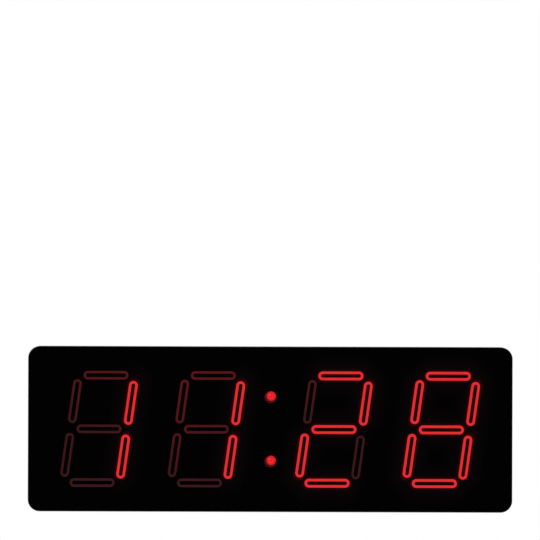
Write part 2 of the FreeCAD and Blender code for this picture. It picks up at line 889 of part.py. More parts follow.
def build_power_inlet():
    """The inlet's block on the control board, its nose through the top wall of the plug bay, and its pin."""
    inlet = Piece("power_inlet", bay_x, bay_top)
    block_back = jack_height - size.jack_nose
    block_thick = control_board_back - block_back
    block = rectangle(size.jack_width, block_thick, z=-(block_back + block_thick / 2))
    inlet.add_upright(block, size.bay_wall, size.jack_length)
    inlet.add_upright(circle(size.jack_nose, 0, -jack_height), 0, size.bay_wall)
    inlet.cut_upright(circle(size.jack_bore, 0, -jack_height), 0, size.jack_bore_depth)

    pin = Piece("power_inlet_pin", bay_x, bay_top)
    low = size.jack_bore_depth - size.jack_pin_length
    pin.add_upright(circle(size.jack_pin_radius, 0, -jack_height), low, size.jack_pin_length)


# Buttons


def button_x(index):
    """A button's place in its row."""
    return size.first_button_x + index * size.button_pitch


BUTTON_PLACES = [button_x(index) for index in range(len(BUTTONS))]


def build_switches():
    """The bodies of the four key switches, on the back of the control board."""
    switches = Piece("key_switches", 0, button_z)
    blocks = together(*(rectangle(size.switch_side, size.switch_side, x=x) for x in BUTTON_PLACES))
    switches.add(blocks, switch_back, size.switch_thick)
    sockets = together(*(circle(size.plunger_radius + size.plunger_gap, x) for x in BUTTON_PLACES))
    switches.cut(sockets, switch_back, size.plunger_in + size.button_travel + size.plunger_gap)


def build_button(name, x):
    """A button cap with its flange and stem, and the switch plunger that the stem rests on."""
    button = Piece(f"{name}_button", x, button_z)
    button.add(circle(size.button_radius), size.button_recess, size.cover_wall - size.button_recess)
    button.round_edges(size.button_recess, size.button_edge)
    button.add(circle(size.button_flange), size.cover_wall, size.button_flange_thick)
    button.add(circle(size.button_stem), flange_top, plunger_back - flange_top)

    plunger = Piece(f"{name}_plunger", x, button_z)
    plunger.add(circle(size.plunger_radius), plunger_back, size.plunger_out + size.plunger_in)


# Coin cell


def build_coin_cell():
    """The backup cell, its stepped face towards the front."""
    cell = Piece("coin_cell", size.battery_x, battery_z)
    cell.add(circle(size.cell_radius), cell_back, size.cell_thick - size.cell_step_thick)
    step = circle(size.cell_radius - size.cell_step)
    cell.add(step, cell_front - size.cell_step_thick, size.cell_step_thick)


def build_contacts():
    """A strip under the cell and a spring at its rim, each with a leg down to the control board."""
    contacts = Piece("cell_contacts", size.battery_x, battery_z)
    contacts.add(rectangle(size.contact_length, size.contact_width), cell_front, size.contact_thick)
    leg_low = cell_front + size.contact_thick
    leg = rectangle(size.contact_thick, size.contact_width, x=leg_x)
    contacts.add(leg, leg_low, control_board_back - leg_low)
    spring = rectangle(size.contact_width, size.contact_thick, z=-rim_contact)
    contacts.add(spring, cell_back, control_board_back - cell_back)


def build_battery_door():
    """A sliding door with a tongue along its top and bottom edges and three ribs to push on."""
    door = Piece("battery_door", size.battery_x, battery_z)
    door.add(rectangle(size.door_length, size.door_height), size.door_sink, size.door_thick)
    tongues = rectangle(size.door_length, size.door_height + 2 * size.door_tongue)
    door.add(tongues, door_inner - size.door_tongue_thick, size.door_tongue_thick)
    places = [step * size.door_rib_pitch for step in steps_about_zero(DOOR_RIBS)]
    ribs = together(*(rectangle(size.door_rib_width, size.door_rib_length, x=x) for x in places))
    door.add(ribs, size.door_sink - size.door_rib_thick, size.door_rib_thick)


# Back cover


def hollow_cover(cover):
    """The open tray, with its rounded rear edge and the shadow line at its rim."""
    cover.add(rectangle(size.case_width, size.case_height, size.corner_radius), 0, panel_back)
    cover.round_edges(0, size.cover_edge)
    wall = size.cover_wall
    inside = rectangle(size.case_width - 2 * wall, size.case_height - 2 * wall, size.corner_radius - wall)
    cover.cut(inside, wall, panel_back - wall)
    rim = frame(size.case_width, size.case_height, size.seam_depth, size.corner_radius)
    cover.cut(rim, panel_back - size.seam_width, size.seam_width)


def add_screw_wells(cover):
    """Deep wells for the housing screws, each meeting a boss of the front panel."""
    post = circle(size.well_radius + size.well_wall, *first_screw)
    hole = circle(size.screw_radius + size.screw_hole_play, *first_screw)
    features = [
        cover.add(post, size.cover_wall, boss_joint - size.cover_wall),
        cover.cut(circle(size.well_radius, *first_screw), 0, size.well_depth),
        cover.cut(hole, size.well_depth, size.well_floor),
    ]
    cover.repeat(features, *SCREW_STEPS)


def add_board_posts(cover):
    """Four posts that carry the control board."""
    depth = size.board_screw_length - size.board_thick + size.screw_end_room
    post = circle(size.board_boss_radius, *first_control_screw)
    pilot = circle(size.board_screw_radius + size.screw_play, *first_control_screw)
    features = [
        cover.add(post, size.cover_wall, control_board_back - size.cover_wall),
        cover.cut(pilot, control_board_back - depth, depth),
    ]
    cover.repeat(features, *CONTROL_SCREW_STEPS)


def add_keyholes(cover):
    """Two keyholes, each with a closed pocket behind it for the screw's head."""
    x, z = -size.keyhole_pitch / 2, size.hang_height
    top = z + size.keyhole_rise
    middle = (z + top) / 2
    wide, tall = size.keyhole_pocket_width, size.keyhole_rise + size.keyhole_pocket_width
    wall = size.keyhole_pocket_wall
    box = rectangle(wide + 2 * wall, tall + 2 * wall, x=x, z=middle)
    features = [
        cover.add(box, size.cover_wall, size.keyhole_pocket_depth + wall),
        cover.cut(rectangle(wide, tall, x=x, z=middle), size.cover_wall, size.keyhole_pocket_depth),
        cover.cut(circle(size.keyhole_radius, x, z), 0, size.cover_wall),
        cover.cut(stadium((x, z), (x, top), size.keyhole_slot), 0, size.cover_wall),
    ]
    cover.repeat(features, ("X", size.keyhole_pitch, 2))


def add_plug_bay(cover):
    """A bay open to the back and the bottom, where the plug hangs in the inlet."""
    wall = size.bay_wall
    bottom = -size.case_height / 2
    tall = size.bay_height + wall - size.cover_wall
    box = rectangle(size.bay_width + 2 * wall, tall, x=bay_x, z=bottom + size.cover_wall + tall / 2)
    cover.add(box, size.cover_wall, size.bay_depth + wall - size.cover_wall)
    room = rectangle(size.bay_width, size.bay_height, x=bay_x, z=bottom + size.bay_height / 2)
    cover.cut(room, 0, size.bay_depth)
    cover.cut_upright(circle(size.jack_nose + size.jack_nose_gap, bay_x, -jack_height), bay_top, wall)


def add_button_holes(cover):
    """A hole for each button, with a tube inside that keeps its flange upright."""
    inner = size.button_flange + size.button_gap
    outer = inner + size.button_tube_wall
    rings = [circle(radius, x, button_z) for x in BUTTON_PLACES for radius in (outer, inner)]
    cover.add(together(*rings), size.cover_wall, size.button_tube_depth)
    holes = [circle(size.button_radius + size.button_gap, x, button_z) for x in BUTTON_PLACES]
    cover.cut(together(*holes), 0, size.cover_wall)


def add_battery_bay(cover):
    """The coin cell's bay, the contacts' slots in it, and the grooved track that the door slides in."""
    wall = size.battery_wall
    place = {"x": size.battery_x, "z": battery_z}
    track_place = {"x": size.battery_x + size.door_travel / 2, "z": battery_z}
    track_length = size.door_length + size.door_travel + 2 * size.door_gap
    track_height = size.door_height + 2 * size.door_gap
    groove_height = track_height + 2 * size.door_tongue
    backing = rectangle(track_length + 2 * wall, groove_height + 2 * wall, **track_place)
    cover.add(backing, size.cover_wall, size.door_backing)
    box = rectangle(battery_side + 2 * wall, battery_side + 2 * wall, **place)
    cover.add(box, size.cover_wall, size.battery_depth + size.battery_floor - size.cover_wall)
    cover.cut(rectangle(battery_side, battery_side, **place), 0, size.battery_depth)
    cover.cut(rectangle(track_length, track_height, **track_place), 0, door_recess)
    groove_thick = size.door_tongue_thick + 2 * size.door_clear
    groove = rectangle(track_length, groove_height, **track_place)
    cover.cut(groove, door_recess - groove_thick, groove_thick)

    short, wide = size.contact_thick + size.contact_slot_play, size.contact_width + size.contact_slot_play
    leg_slot = rectangle(short, wide, x=size.battery_x + leg_x, z=battery_z)
    rim_slot = rectangle(wide, short, x=size.battery_x, z=battery_z - rim_contact)
    cover.cut(together(leg_slot, rim_slot), size.battery_depth, size.battery_floor)


def add_vents(cover):
    """Four groups of upright air slots."""
    x, z = -size.vent_group_pitch_x / 2, -size.vent_group_pitch_z / 2
    reach = (size.vent_height - size.vent_width) / 2
    places = [x + step * size.vent_pitch for step in steps_about_zero(VENTS_IN_A_GROUP)]
    slots = together(*(stadium((x, z - reach), (x, z + reach), size.vent_width / 2) for x in places))
    first = cover.cut(slots, 0, size.cover_wall)
    cover.repeat([first], ("X", size.vent_group_pitch_x, 2), ("Z", size.vent_group_pitch_z, 2))


def build_back_cover():
    """The moulded tray that everything but the front is reached from."""
    cover = Piece("back_cover")
    hollow_cover(cover)
    add_screw_wells(cover)
    add_board_posts(cover)
    add_keyholes(cover)
    add_plug_bay(cover)
    add_button_holes(cover)
    add_battery_bay(cover)
    add_vents(cover)


# Screws


def build_housing_screws():
    """The eight screws that hold the cover to the front panel, driven towards the front."""
    screws = Piece("housing_screws")
    head_low = size.well_depth - size.screw_head_thick
    features = [
        screws.add(circle(size.screw_head_radius, *first_screw), head_low, size.screw_head_thick),
        screws.add(circle(size.screw_radius, *first_screw), size.well_depth, size.screw_length),
    ]
    features += add_cross(screws, head_low, first_screw)
    screws.repeat(features, *SCREW_STEPS)


def add_cross(screws, low, place):
    """The cross recess in a screw's head."""
    x, z = place
    blades = ((size.cross_length, size.cross_width), (size.cross_width, size.cross_length))
    return [screws.cut(rectangle(*blade, x=x, z=z), low, size.cross_depth) for blade in blades]


def build_board_screws():
    """The small screws of both boards: eight driven towards the front, four towards the back."""
    screws = Piece("board_screws")
    radius, head_radius = size.board_screw_radius, size.board_screw_head_radius
    length, head_thick = size.board_screw_length, size.board_screw_head_thick
    head_low = display_board_back - head_thick
    features = [
        screws.add(circle(head_radius, *first_board_screw), head_low, head_thick),
        screws.add(circle(radius, *first_board_screw), display_board_back, length),
    ]
    features += add_cross(screws, head_low, first_board_screw)
    screws.repeat(features, *BOARD_SCREW_STEPS)

    head_high = control_board_front + head_thick
    features = [
        screws.add(circle(head_radius, *first_control_screw), control_board_front, head_thick),
        screws.add(circle(radius, *first_control_screw), control_board_front - length, length),
    ]
    features += add_cross(screws, head_high - size.cross_depth, first_control_screw)
    screws.repeat(features, *CONTROL_SCREW_STEPS)


# The whole clock


def build_clock():
    """Every piece, from the front to the back."""
    build_front_panel()
    for index in range(DIGITS):
        for letter in SEGMENTS:
            build_light_guide(index, letter)
    build_segment_cores()
    build_light_baffle()
    build_colon_lamp("colon_lamp_upper", 1)
    build_colon_lamp("colon_lamp_lower", -1)
    build_display_board()
    build_segment_lamps()
    build_driver_chips()
    build_resistors()
    build_control_board()
    build_control_chip()
    build_crystal()
    build_capacitors()
    build_headers()
    build_ribbon_cable()
    build_power_inlet()
    build_switches()
    for name, x in zip(BUTTONS, BUTTON_PLACES):
        build_button(name, x)
    build_coin_cell()
    build_contacts()
    build_battery_door()
    build_back_cover()
    build_housing_screws()
    build_board_screws()


def faults():
    """What failed to build: a bad state, a shape that isn't valid, or a step that changed nothing."""
    found = []
    for item in document.Objects:
        if {"Invalid", "Error"} & set(item.State):
            found.append(f"{item.Label}: {item.State}")
        base = getattr(item, "BaseFeature", None)
        if item.isDerivedFrom("PartDesign::Feature") and base is not None and not item.Shape.isNull():
            cuts = item.isDerivedFrom("PartDesign::Pocket")
            gain = item.Shape.Volume - base.Shape.Volume
            if cuts and gain > -1e-3 or item.isDerivedFrom("PartDesign::Pad") and gain < 1e-3:
                found.append(f"{item.Label}: changes its volume by {gain:.4f}")
        if item.isDerivedFrom("PartDesign::Body") and (item.Shape.isNull() or not item.Shape.isValid()):
            found.append(f"{item.Label}: shape is null or not valid")
    return found


build_clock()
document.recompute()
problems = faults()
if problems:
    raise SystemExit("\n".join(problems))

bodies = [item for item in document.Objects if item.isDerivedFrom("PartDesign::Body")]
os.makedirs("parts", exist_ok=True)
for body in bodies:
    body.Shape.exportStep(f"parts/{body.Label}.step")
    print(f"{body.Label}: {len(body.Shape.Solids)} solids, {body.Shape.Volume / 1000:.2f} cm3")
print(f"{len(bodies)} pieces")
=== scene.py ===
# %% [markdown]
# # A led wall clock on white
#
# The clock's cover, front panel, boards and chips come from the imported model, a fixed frame, and get
# their finishes here. The light guides, lamps, buttons, screws and small parts are plain in that frame
# and are modelled anew, and all of it is lit like a catalogue picture. Lengths are in metres. X runs to
# the viewer's right, Z up, and the clock's front looks towards -Y.

import math

import bmesh
import bpy
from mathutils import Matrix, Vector


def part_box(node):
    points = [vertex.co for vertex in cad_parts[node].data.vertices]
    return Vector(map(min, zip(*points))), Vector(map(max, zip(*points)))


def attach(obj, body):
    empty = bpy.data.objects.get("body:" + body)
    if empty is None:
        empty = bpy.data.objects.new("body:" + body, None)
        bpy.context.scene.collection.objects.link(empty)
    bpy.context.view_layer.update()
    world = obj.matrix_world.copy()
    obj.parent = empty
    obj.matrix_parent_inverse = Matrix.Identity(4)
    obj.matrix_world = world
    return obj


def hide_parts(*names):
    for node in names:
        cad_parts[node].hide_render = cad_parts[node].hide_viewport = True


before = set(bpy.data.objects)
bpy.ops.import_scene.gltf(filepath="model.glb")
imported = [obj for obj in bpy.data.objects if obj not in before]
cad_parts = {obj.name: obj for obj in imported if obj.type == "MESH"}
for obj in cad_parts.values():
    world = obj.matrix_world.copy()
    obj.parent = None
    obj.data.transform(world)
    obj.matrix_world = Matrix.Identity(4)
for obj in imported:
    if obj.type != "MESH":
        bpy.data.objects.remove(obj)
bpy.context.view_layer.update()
MM = 0.001


def mm(*lengths):
    """Millimetres as metres."""
    return tuple(length * MM for length in lengths)


def centre(node):
    """The middle of a node's box."""
    return sum(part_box(node), Vector()) / 2


cover_low, cover_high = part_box("back_cover")
middle = centre("front_panel")
front_y, panel_back_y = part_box("front_panel")[0].y, cover_low.y
print(f"{len(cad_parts)} nodes; the cover is {cover_high.x - cover_low.x:.2f} m wide")

# %% [markdown]
# ## Camera
#
# The clock is seen straight from the front, so far away that neither its top nor its sides show. Such a
# picture could be made with an orthographic camera or with a very long lens. The long lens is kept,
# because it still gives a little depth when the camera moves to another side. The clock sits low in the
# frame, so the camera stands higher than its middle and looks level, and the picture turns by a fifth of
# a degree.

# %% Place the camera
PHOTO_SIDE = 540
CLOCK_MIDDLE_ACROSS, CLOCK_MIDDLE_DOWN = 270.2, 429.38
PIXEL = 1.0525 * MM
CLOCK_TURN = math.radians(0.18)
CAMERA_DISTANCE = 8.0

across = (PHOTO_SIDE / 2 - CLOCK_MIDDLE_ACROSS) * PIXEL
up = (CLOCK_MIDDLE_DOWN - PHOTO_SIDE / 2) * PIXEL
camera_x = middle.x + across * math.cos(CLOCK_TURN) - up * math.sin(CLOCK_TURN)
camera_z = middle.z + across * math.sin(CLOCK_TURN) + up * math.cos(CLOCK_TURN)
bpy.ops.object.camera_add(
    location=(camera_x, front_y - CAMERA_DISTANCE, camera_z),
    rotation=(math.pi / 2, -CLOCK_TURN, 0),
)
camera = bpy.context.object
camera.data.lens = camera.data.sensor_width * CAMERA_DISTANCE / (PHOTO_SIDE * PIXEL)
bpy.context.scene.camera = camera
bpy.context.scene.view_settings.view_transform = "Standard"
print(f"camera {CAMERA_DISTANCE} m off, lens {camera.data.lens:.0f} mm")

# %% [markdown]
# ## Sums on sockets
#
# A material is a net of nodes, and most of them only add or multiply. Typing those as Python sums keeps
# a finish readable: the class below wraps one socket, and a sum on it adds the Math node that works it
# out. Every other node comes from one method of the net.

# %% A socket that does sums


def sum_method(operation, reflected=False):
    """A method of Socket that adds the Math node of one operation."""

    def method(self, *other):
        values = (*other, self) if reflected else (self, *other)
        return self.owner.math(operation, *values)

    return method


class Socket:
    """An output of a node, on which ordinary sums can be written."""

    def __init__(self, owner, output):
        self.owner = owner
        self.output = output

    __add__ = __radd__ = sum_method("ADD")
    __mul__ = __rmul__ = sum_method("MULTIPLY")
    __sub__ = sum_method("SUBTRACT")
    __rsub__ = sum_method("SUBTRACT", reflected=True)
    __truediv__ = sum_method("DIVIDE")
    __rtruediv__ = sum_method("DIVIDE", reflected=True)
    __pow__ = sum_method("POWER")
    __rpow__ = sum_method("POWER", reflected=True)
    __gt__ = sum_method("GREATER_THAN")
    __lt__ = sum_method("LESS_THAN")
    __abs__ = sum_method("ABSOLUTE")


# %% A net that adds nodes


class Net:
    """A node tree to which nodes are added by type, settings and socket values."""

    def __init__(self, tree):
        self.tree = tree

    def put(self, target, value):
        """A value or a link into an input."""
        if isinstance(value, Socket):
            self.tree.links.new(value.output, target)
        else:
            target.default_value = value

    def add(self, kind, settings=None, values=None, output=0):
        """A node of a type: its settings are set first, then its inputs, and one output comes back."""
        node = self.tree.nodes.new("ShaderNode" + kind)
        for name, value in (settings or {}).items():
            setattr(node, name, value)
        for name, value in (values or {}).items():
            self.put(node.inputs[name], value)
        return Socket(self, node.outputs[output])

    def math(self, operation, *values):
        """A Math node."""
        return self.add("Math", {"operation": operation}, dict(enumerate(values)))

    def clamp(self, value):
        """A value held between 0 and 1."""
        return self.add("Clamp", {}, {"Value": value})

    def mix(self, amount, first, second):
        """From the first colour to the second, which are the node's inputs 6 and 7."""
        values = {0: amount, 6: first, 7: second}
        return self.add("Mix", {"data_type": "RGBA"}, values, output=2)

    def stretch(self, value, low, high, to_low=0.0, to_high=1.0):
        """A value eased from one range to another and held at its ends."""
        values = {"From Min": low, "From Max": high, "To Min": to_low, "To Max": to_high, "Value": value}
        return self.add("MapRange", {"interpolation_type": "SMOOTHSTEP"}, values)

    def split(self, vector):
        """The three coordinates of a vector, each as a socket."""
        node = self.tree.nodes.new("ShaderNodeSeparateXYZ")
        self.put(node.inputs[0], vector)
        return [Socket(self, output) for output in node.outputs]

    def ray(self, kind):
        """1 for a ray of this kind, and 0 for any other."""
        return self.add("LightPath", output=f"Is {kind} Ray")


def diagonal(one, other):
    """The length of a slope from its two sides, on sockets."""
    return (one ** 2 + other ** 2) ** 0.5


# %% A finish for a piece


class Finish(Net):
    """A material with one Principled shader."""

    def __init__(self, name, **surface):
        self.material = bpy.data.materials.new(name)
        self.material.use_nodes = True
        super().__init__(self.material.node_tree)
        self.shader = self.tree.nodes["Principled BSDF"]
        self.place = self.add("TexCoord", output="Object")
        self.set(**surface)

    def set(self, **surface):
        """Shader inputs by their names, written with underscores."""
        for name, value in surface.items():
            self.put(self.shader.inputs[name.replace("_", " ")], value)

    def xyz(self):
        """The three coordinates of the place, each as a socket."""
        return self.split(self.place)

    def noise(self, scale, detail=2.0, place=None):
        """A cloudy value, mostly between 0.3 and 0.7."""
        values = {"Vector": place or self.place, "Scale": scale, "Detail": detail}
        return self.add("TexNoise", {}, values)

    def bump(self, height, distance):
        """Bumps in the skin, which leave its shape as it is."""
        self.set(Normal=self.add("Bump", {}, {"Height": height, "Distance": distance}))

    def paint(self, amount, first, second):
        """The skin's colour, from the first to the second."""
        self.set(Base_Color=self.mix(amount, first, second))

    def shine(self, amount, first, second):
        """Light of its own, from the first colour to the second."""
        self.set(Emission_Color=self.mix(amount, first, second), Emission_Strength=1.0)


def dress(finish, *nodes):
    """Gives a finish to nodes of the frame."""
    for name in nodes:
        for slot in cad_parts[name].material_slots:
            slot.material = finish.material
    print(f"{finish.material.name}: {len(nodes)} nodes")


def opaque(red, green, blue):
    """A colour as it is read off a picture, 0 to 255, as the shader's linear one."""
    shares = [channel / 255 for channel in (red, green, blue)]
    linear = [share / 12.92 if share <= 0.04045 else ((share + 0.055) / 1.055) ** 2.4 for share in shares]
    return (*linear, 1.0)


# %% [markdown]
# ## Studio
#
# The picture's ground is pure white, and nothing of the room shows in the gloss front, so the room in
# front of the clock was dark. The world does both: it is white to the camera and in reflections, save for
# a dark patch in front of the clock, and it is a plain soft light for everything else. Four large lamps
# add some direction, and a pale floor below takes the shadow.

# %% Make the world
AMBIENT = 0.62
DARK_PATCH_EDGE, DARK_PATCH_CORE = math.radians(84), math.radians(48)
DARK_LEVEL = 0.01

world = bpy.data.worlds.new("studio")
world.use_nodes = True
bpy.context.scene.world = world
sky = Net(world.node_tree)
towards_front = 0 - sky.split(sky.add("TexCoord", output="Generated"))[1]
patch = sky.stretch(towards_front, math.cos(DARK_PATCH_EDGE), math.cos(DARK_PATCH_CORE))
shown = sky.clamp(sky.ray("Camera") + sky.ray("Transmission"))
mirrored = sky.ray("Glossy")
reflected = mirrored * (1 - patch * (1 - DARK_LEVEL)) + (1 - mirrored) * AMBIENT
background = sky.tree.nodes["Background"]
sky.put(background.inputs["Color"], (1.0, 1.0, 1.0, 1.0))
sky.put(background.inputs["Strength"], shown + (1 - shown) * reflected)
print("world: white ground with a dark patch in front of the clock")

# %% Hang the lamps
LAMP_SIDE = 1.4
LAMPS = {
    "key_lamp": ((-1.6, -1.5, 1.3), 13),
    "fill_lamp": ((1.9, -1.2, 0.5), 7),
    "back_lamp": ((1.2, 1.8, 1.3), 13),
    "back_fill_lamp": ((-1.9, 1.4, 0.4), 8),
}

for lamp_name, (place, watts) in LAMPS.items():
    look = (middle - Vector(place)).to_track_quat("-Z", "Y").to_euler()
    bpy.ops.object.light_add(type="AREA", location=place, rotation=look)
    lamp = bpy.context.object
    lamp.name = lamp_name
    lamp.data.size = LAMP_SIDE
    lamp.data.energy = watts
print(f"{len(LAMPS)} lamps")

# %% [markdown]
# The floor is a large pale disc. Close to the clock it is matt and holds the shadow. Further out it turns
# into the white of the world for the camera, so that no horizon shows from any side. In front of the
# clock it is dark to mirror rays alone, so that the gloss panel doesn't show it.

# %% Lay the floor
FLOOR_BELOW, FLOOR_RADIUS = 0.16, 3.4
FADE_START, FADE_END = 0.35, 1.8
DARK_START, DARK_END = 0.1, 0.6
FLOOR_PALE, FLOOR_DARK = (0.93, 0.93, 0.93, 1.0), opaque(20, 20, 20)

bpy.ops.mesh.primitive_circle_add(
    vertices=96, radius=FLOOR_RADIUS, fill_type="NGON", location=(0, 0, cover_low.z - FLOOR_BELOW)
)
floor = bpy.context.object
floor.name = "floor"
floor_white = Finish("floor_white", Roughness=0.9, Specular_IOR_Level=0.1)
x, y, z = floor_white.xyz()
far = floor_white.stretch(diagonal(x, y), FADE_START, FADE_END)
in_front = floor_white.stretch(0 - y, DARK_START, DARK_END)
floor_white.paint(in_front * floor_white.ray("Glossy"), FLOOR_PALE, FLOOR_DARK)
glow = floor_white.add("Emission", {}, {"Strength": 1.0})
matt = Socket(floor_white, floor_white.shader.outputs[0])
blend = floor_white.add("MixShader", {}, {0: far * floor_white.ray("Camera"), 1: matt, 2: glow})
floor_white.put(floor_white.tree.nodes["Material Output"].inputs["Surface"], blend)
floor.data.materials.append(floor_white.material)
print(f"floor {FLOOR_BELOW:.2f} m below the clock")

# %% [markdown]
# ## Where light leaks
#
# Acrylic and black resin spread a little light, so the black close to a lit guide is faintly red, and so
# is the core inside a lit ring. Painting that by hand would need a mask. It is worked out instead, from
# how far a place is from the middle line of the nearest lit guide. The digits' sizes come from the guides
# of the frame, which are lettered as usual: a is the top bar, b to f go round clockwise, and g is the
# middle bar. The posts lean a little more than the line on which the three bars lie.

# %% Read the digits off the frame


def guide_name(digit, letter):
    return f"digit_{digit}_segment_{letter}"


bar_a, post_b, post_c, post_f, bar_g = [centre(guide_name(1, letter)) for letter in "abcfg"]
BAR_RISE = bar_a.z - bar_g.z
BAR_LEAN = math.atan2(bar_a.x - bar_g.x, BAR_RISE)
LEAN = math.atan2(post_b.x - post_c.x, post_b.z - post_c.z)
POST_OUT = (post_b.x - post_f.x - (post_b.z - post_f.z) * math.tan(LEAN)) / 2
DIGIT_PITCH = centre(guide_name(2, "g")).x - bar_g.x
PAIR_MIDDLE = abs(bar_g.x + DIGIT_PITCH / 2)

bar_low, bar_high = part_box(guide_name(1, "a"))
BAR_LENGTH = (bar_high.x - bar_low.x) - (bar_high.z - bar_low.z)
POST_LENGTH = 37.3 * MM
print(f"digits {DIGIT_PITCH * 1000:.0f} mm apart in a pair, leaning {math.degrees(LEAN):.1f} degrees")

# %% [markdown]
# All four digits have the same bars and posts, so a place is first folded: about the middle of the clock,
# about the middle of a pair of digits, and about the middle of a digit. Then one bar and one post are
# left to measure to, and what is folded away says whether that guide is lit.

# %% Measure how far the nearest lit guide is
FAR_AWAY = 1.0


def lit_distance(finish):
    """The distance to the middle line of the nearest lit guide, as a socket."""
    x, y, z = finish.xyz()
    height = z - middle.z

    def from_digit_middle(lean):
        out = abs(x - height * math.tan(lean))
        return abs(abs(out - PAIR_MIDDLE) - DIGIT_PITCH / 2)

    bar_off = finish.math("MINIMUM", abs(height), abs(abs(height) - BAR_RISE))
    bar_over = finish.math("MAXIMUM", from_digit_middle(BAR_LEAN) - BAR_LENGTH / 2, 0)
    leaned = x - height * math.tan(LEAN)
    bar_is_lit = leaned > 0
    bars = diagonal(bar_off, bar_over) + (1 - bar_is_lit) * FAR_AWAY

    out = abs(leaned)
    post_off = (from_digit_middle(LEAN) - POST_OUT) * math.cos(LEAN)
    post_over = finish.math("MAXIMUM", abs(abs(height) - BAR_RISE / 2) - POST_LENGTH / 2, 0)
    in_outer_digit = out > PAIR_MIDDLE
    beside_colon = out < PAIR_MIDDLE - DIGIT_PITCH / 2
    inner_half = out < PAIR_MIDDLE + DIGIT_PITCH / 2
    hours = beside_colon + in_outer_digit * inner_half
    two_posts = (out - (PAIR_MIDDLE - DIGIT_PITCH / 2)) * height > 0
    minutes = in_outer_digit + (1 - in_outer_digit) * two_posts
    post_is_lit = (1 - bar_is_lit) * hours + bar_is_lit * minutes
    posts = diagonal(post_off, post_over) + (1 - post_is_lit) * FAR_AWAY
    return finish.math("MINIMUM", bars, posts)


# %% [markdown]
# ## Gloss front
#
# The front is a black acrylic plate. Almost nothing of its own colour shows: what makes it look like
# acrylic is how clean its reflections are, so the finish is a near-black with a low roughness that
# wanders a little, as where a cloth has wiped it, and a hardly visible waviness. Its rim was milled and
# not polished, so it is satin. The leak of light is an emission, because it is there in the dark too.

# %% Finish the front panel
NO_LIGHT, HAZE_RED, LEAK_RED = opaque(0, 0, 0), opaque(7, 3, 3), opaque(46, 2, 5)
BESIDE_GUIDE, LEAK_END, HAZE_END = mm(4.6, 7.8, 24)
WIPE_SCALE, SMOOTHEST, ROUGHEST = 9.0, 0.015, 0.045
WAVE_SCALE, WAVE_HEIGHT = 14.0, 0.02 * MM
RIM_START, RIM_END = mm(0.02, 0.15)
RIM_ROUGHER = 0.32

panel_black = Finish("panel_gloss_black", Base_Color=opaque(2, 1, 2), IOR=1.49)
wiped = panel_black.noise(WIPE_SCALE, 4.0)
polished = panel_black.stretch(wiped, 0.35, 0.7, SMOOTHEST, ROUGHEST)
rim = panel_black.stretch(panel_black.xyz()[1], front_y + RIM_START, front_y + RIM_END)
panel_black.set(Roughness=polished + rim * RIM_ROUGHER)
panel_black.bump(panel_black.noise(WAVE_SCALE, 1.0), WAVE_HEIGHT)
lit_off = lit_distance(panel_black)
haze = panel_black.mix(panel_black.stretch(lit_off, HAZE_END, BESIDE_GUIDE), NO_LIGHT, HAZE_RED)
panel_black.shine(panel_black.stretch(lit_off, LEAK_END, BESIDE_GUIDE), haze, LEAK_RED)
dress(panel_black, "front_panel")

# %% [markdown]
# ## Red light guides
#
# Each segment is one moulded red guide whose rim shows as a ring. A lit ring is nearly even all along.
# Lamps could light it from behind, but an emission that wavers a little looks the same and leaves no
# grain in the picture. An unlit ring only shows what room light leaves on it, painted into its colour: a
# painted sheen, reddest near the top left of the second digit, and painted shade, browner away from
# there, sideways and downwards. Its sunk shoulders and slot get painted shade as well.

# %% Finish the light guides
LIT = {1: "bc", 2: "bc", 3: "abdeg", 4: "abcdefg"}
LETTERS, BARS = "abcdefg", "adg"
LIT_DEEP, LIT_BRIGHT = opaque(220, 39, 45), opaque(232, 46, 51)
# The unlit colours run from painted shade (brown) to painted sheen (red); the slot red is painted shade.
UNLIT_SHADED_BROWN, UNLIT_SHEEN_RED, SUNK_SHADE_RED = opaque(67, 26, 30), opaque(102, 24, 25), opaque(24, 8, 9)
SHEEN_CENTRE_X, SHEEN_FALL_PER_METRE, MOTTLING = -90 * MM, 4.4, 0.4
WAVER_SCALE, MOTTLE_SCALE = 160.0, 60.0
SUNK_SHADE_START, SUNK_SHADE_END = mm(0.03, 0.12)

guide_lit = Finish("guide_lit", Base_Color=opaque(60, 8, 8), Roughness=0.12)
guide_lit.shine(guide_lit.noise(WAVER_SCALE), LIT_DEEP, LIT_BRIGHT)

guide_unlit = Finish("guide_unlit", Roughness=0.1)
x, y, z = guide_unlit.xyz()
digit_bottom, digit_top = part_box(guide_name(1, "d"))[0].z, bar_high.z
height = (z - digit_bottom) / (digit_top - digit_bottom)
mottled = guide_unlit.noise(MOTTLE_SCALE)
# Painted sheen and shade: reddest near the top left of the second digit, darker sideways and downwards,
# mottled.
painted_sheen = guide_unlit.clamp(height - abs(x - SHEEN_CENTRE_X) * SHEEN_FALL_PER_METRE + (mottled - 0.5) * MOTTLING)
sheened_red = guide_unlit.mix(painted_sheen, UNLIT_SHADED_BROWN, UNLIT_SHEEN_RED)
# Painted shade: the sunk shoulders and slot of the rim are darker.
painted_sunk_shade = guide_unlit.stretch(y, front_y + SUNK_SHADE_START, front_y + SUNK_SHADE_END)
guide_unlit.paint(painted_sunk_shade, sheened_red, SUNK_SHADE_RED)
print("two finishes for the guides")

# %% [markdown]
# ## Shaping by hand
#
# Every new piece is shaped as on a bench: a primitive is added at its size, some of its faces are picked,
# and then they are inset and extruded. The helpers below hold the few steps that every piece shares. They
# pick by where a face lies and which way it points, because face numbers change with every edit.

# %% Helpers for a start


def opened():
    """Fixes the turn of the primitive that was just added and opens it for editing."""
    bpy.ops.object.transform_apply(location=True, rotation=True, scale=True)
    bpy.ops.object.mode_set(mode="EDIT")
    bpy.ops.mesh.select_mode(type="FACE")
    return bpy.context.object


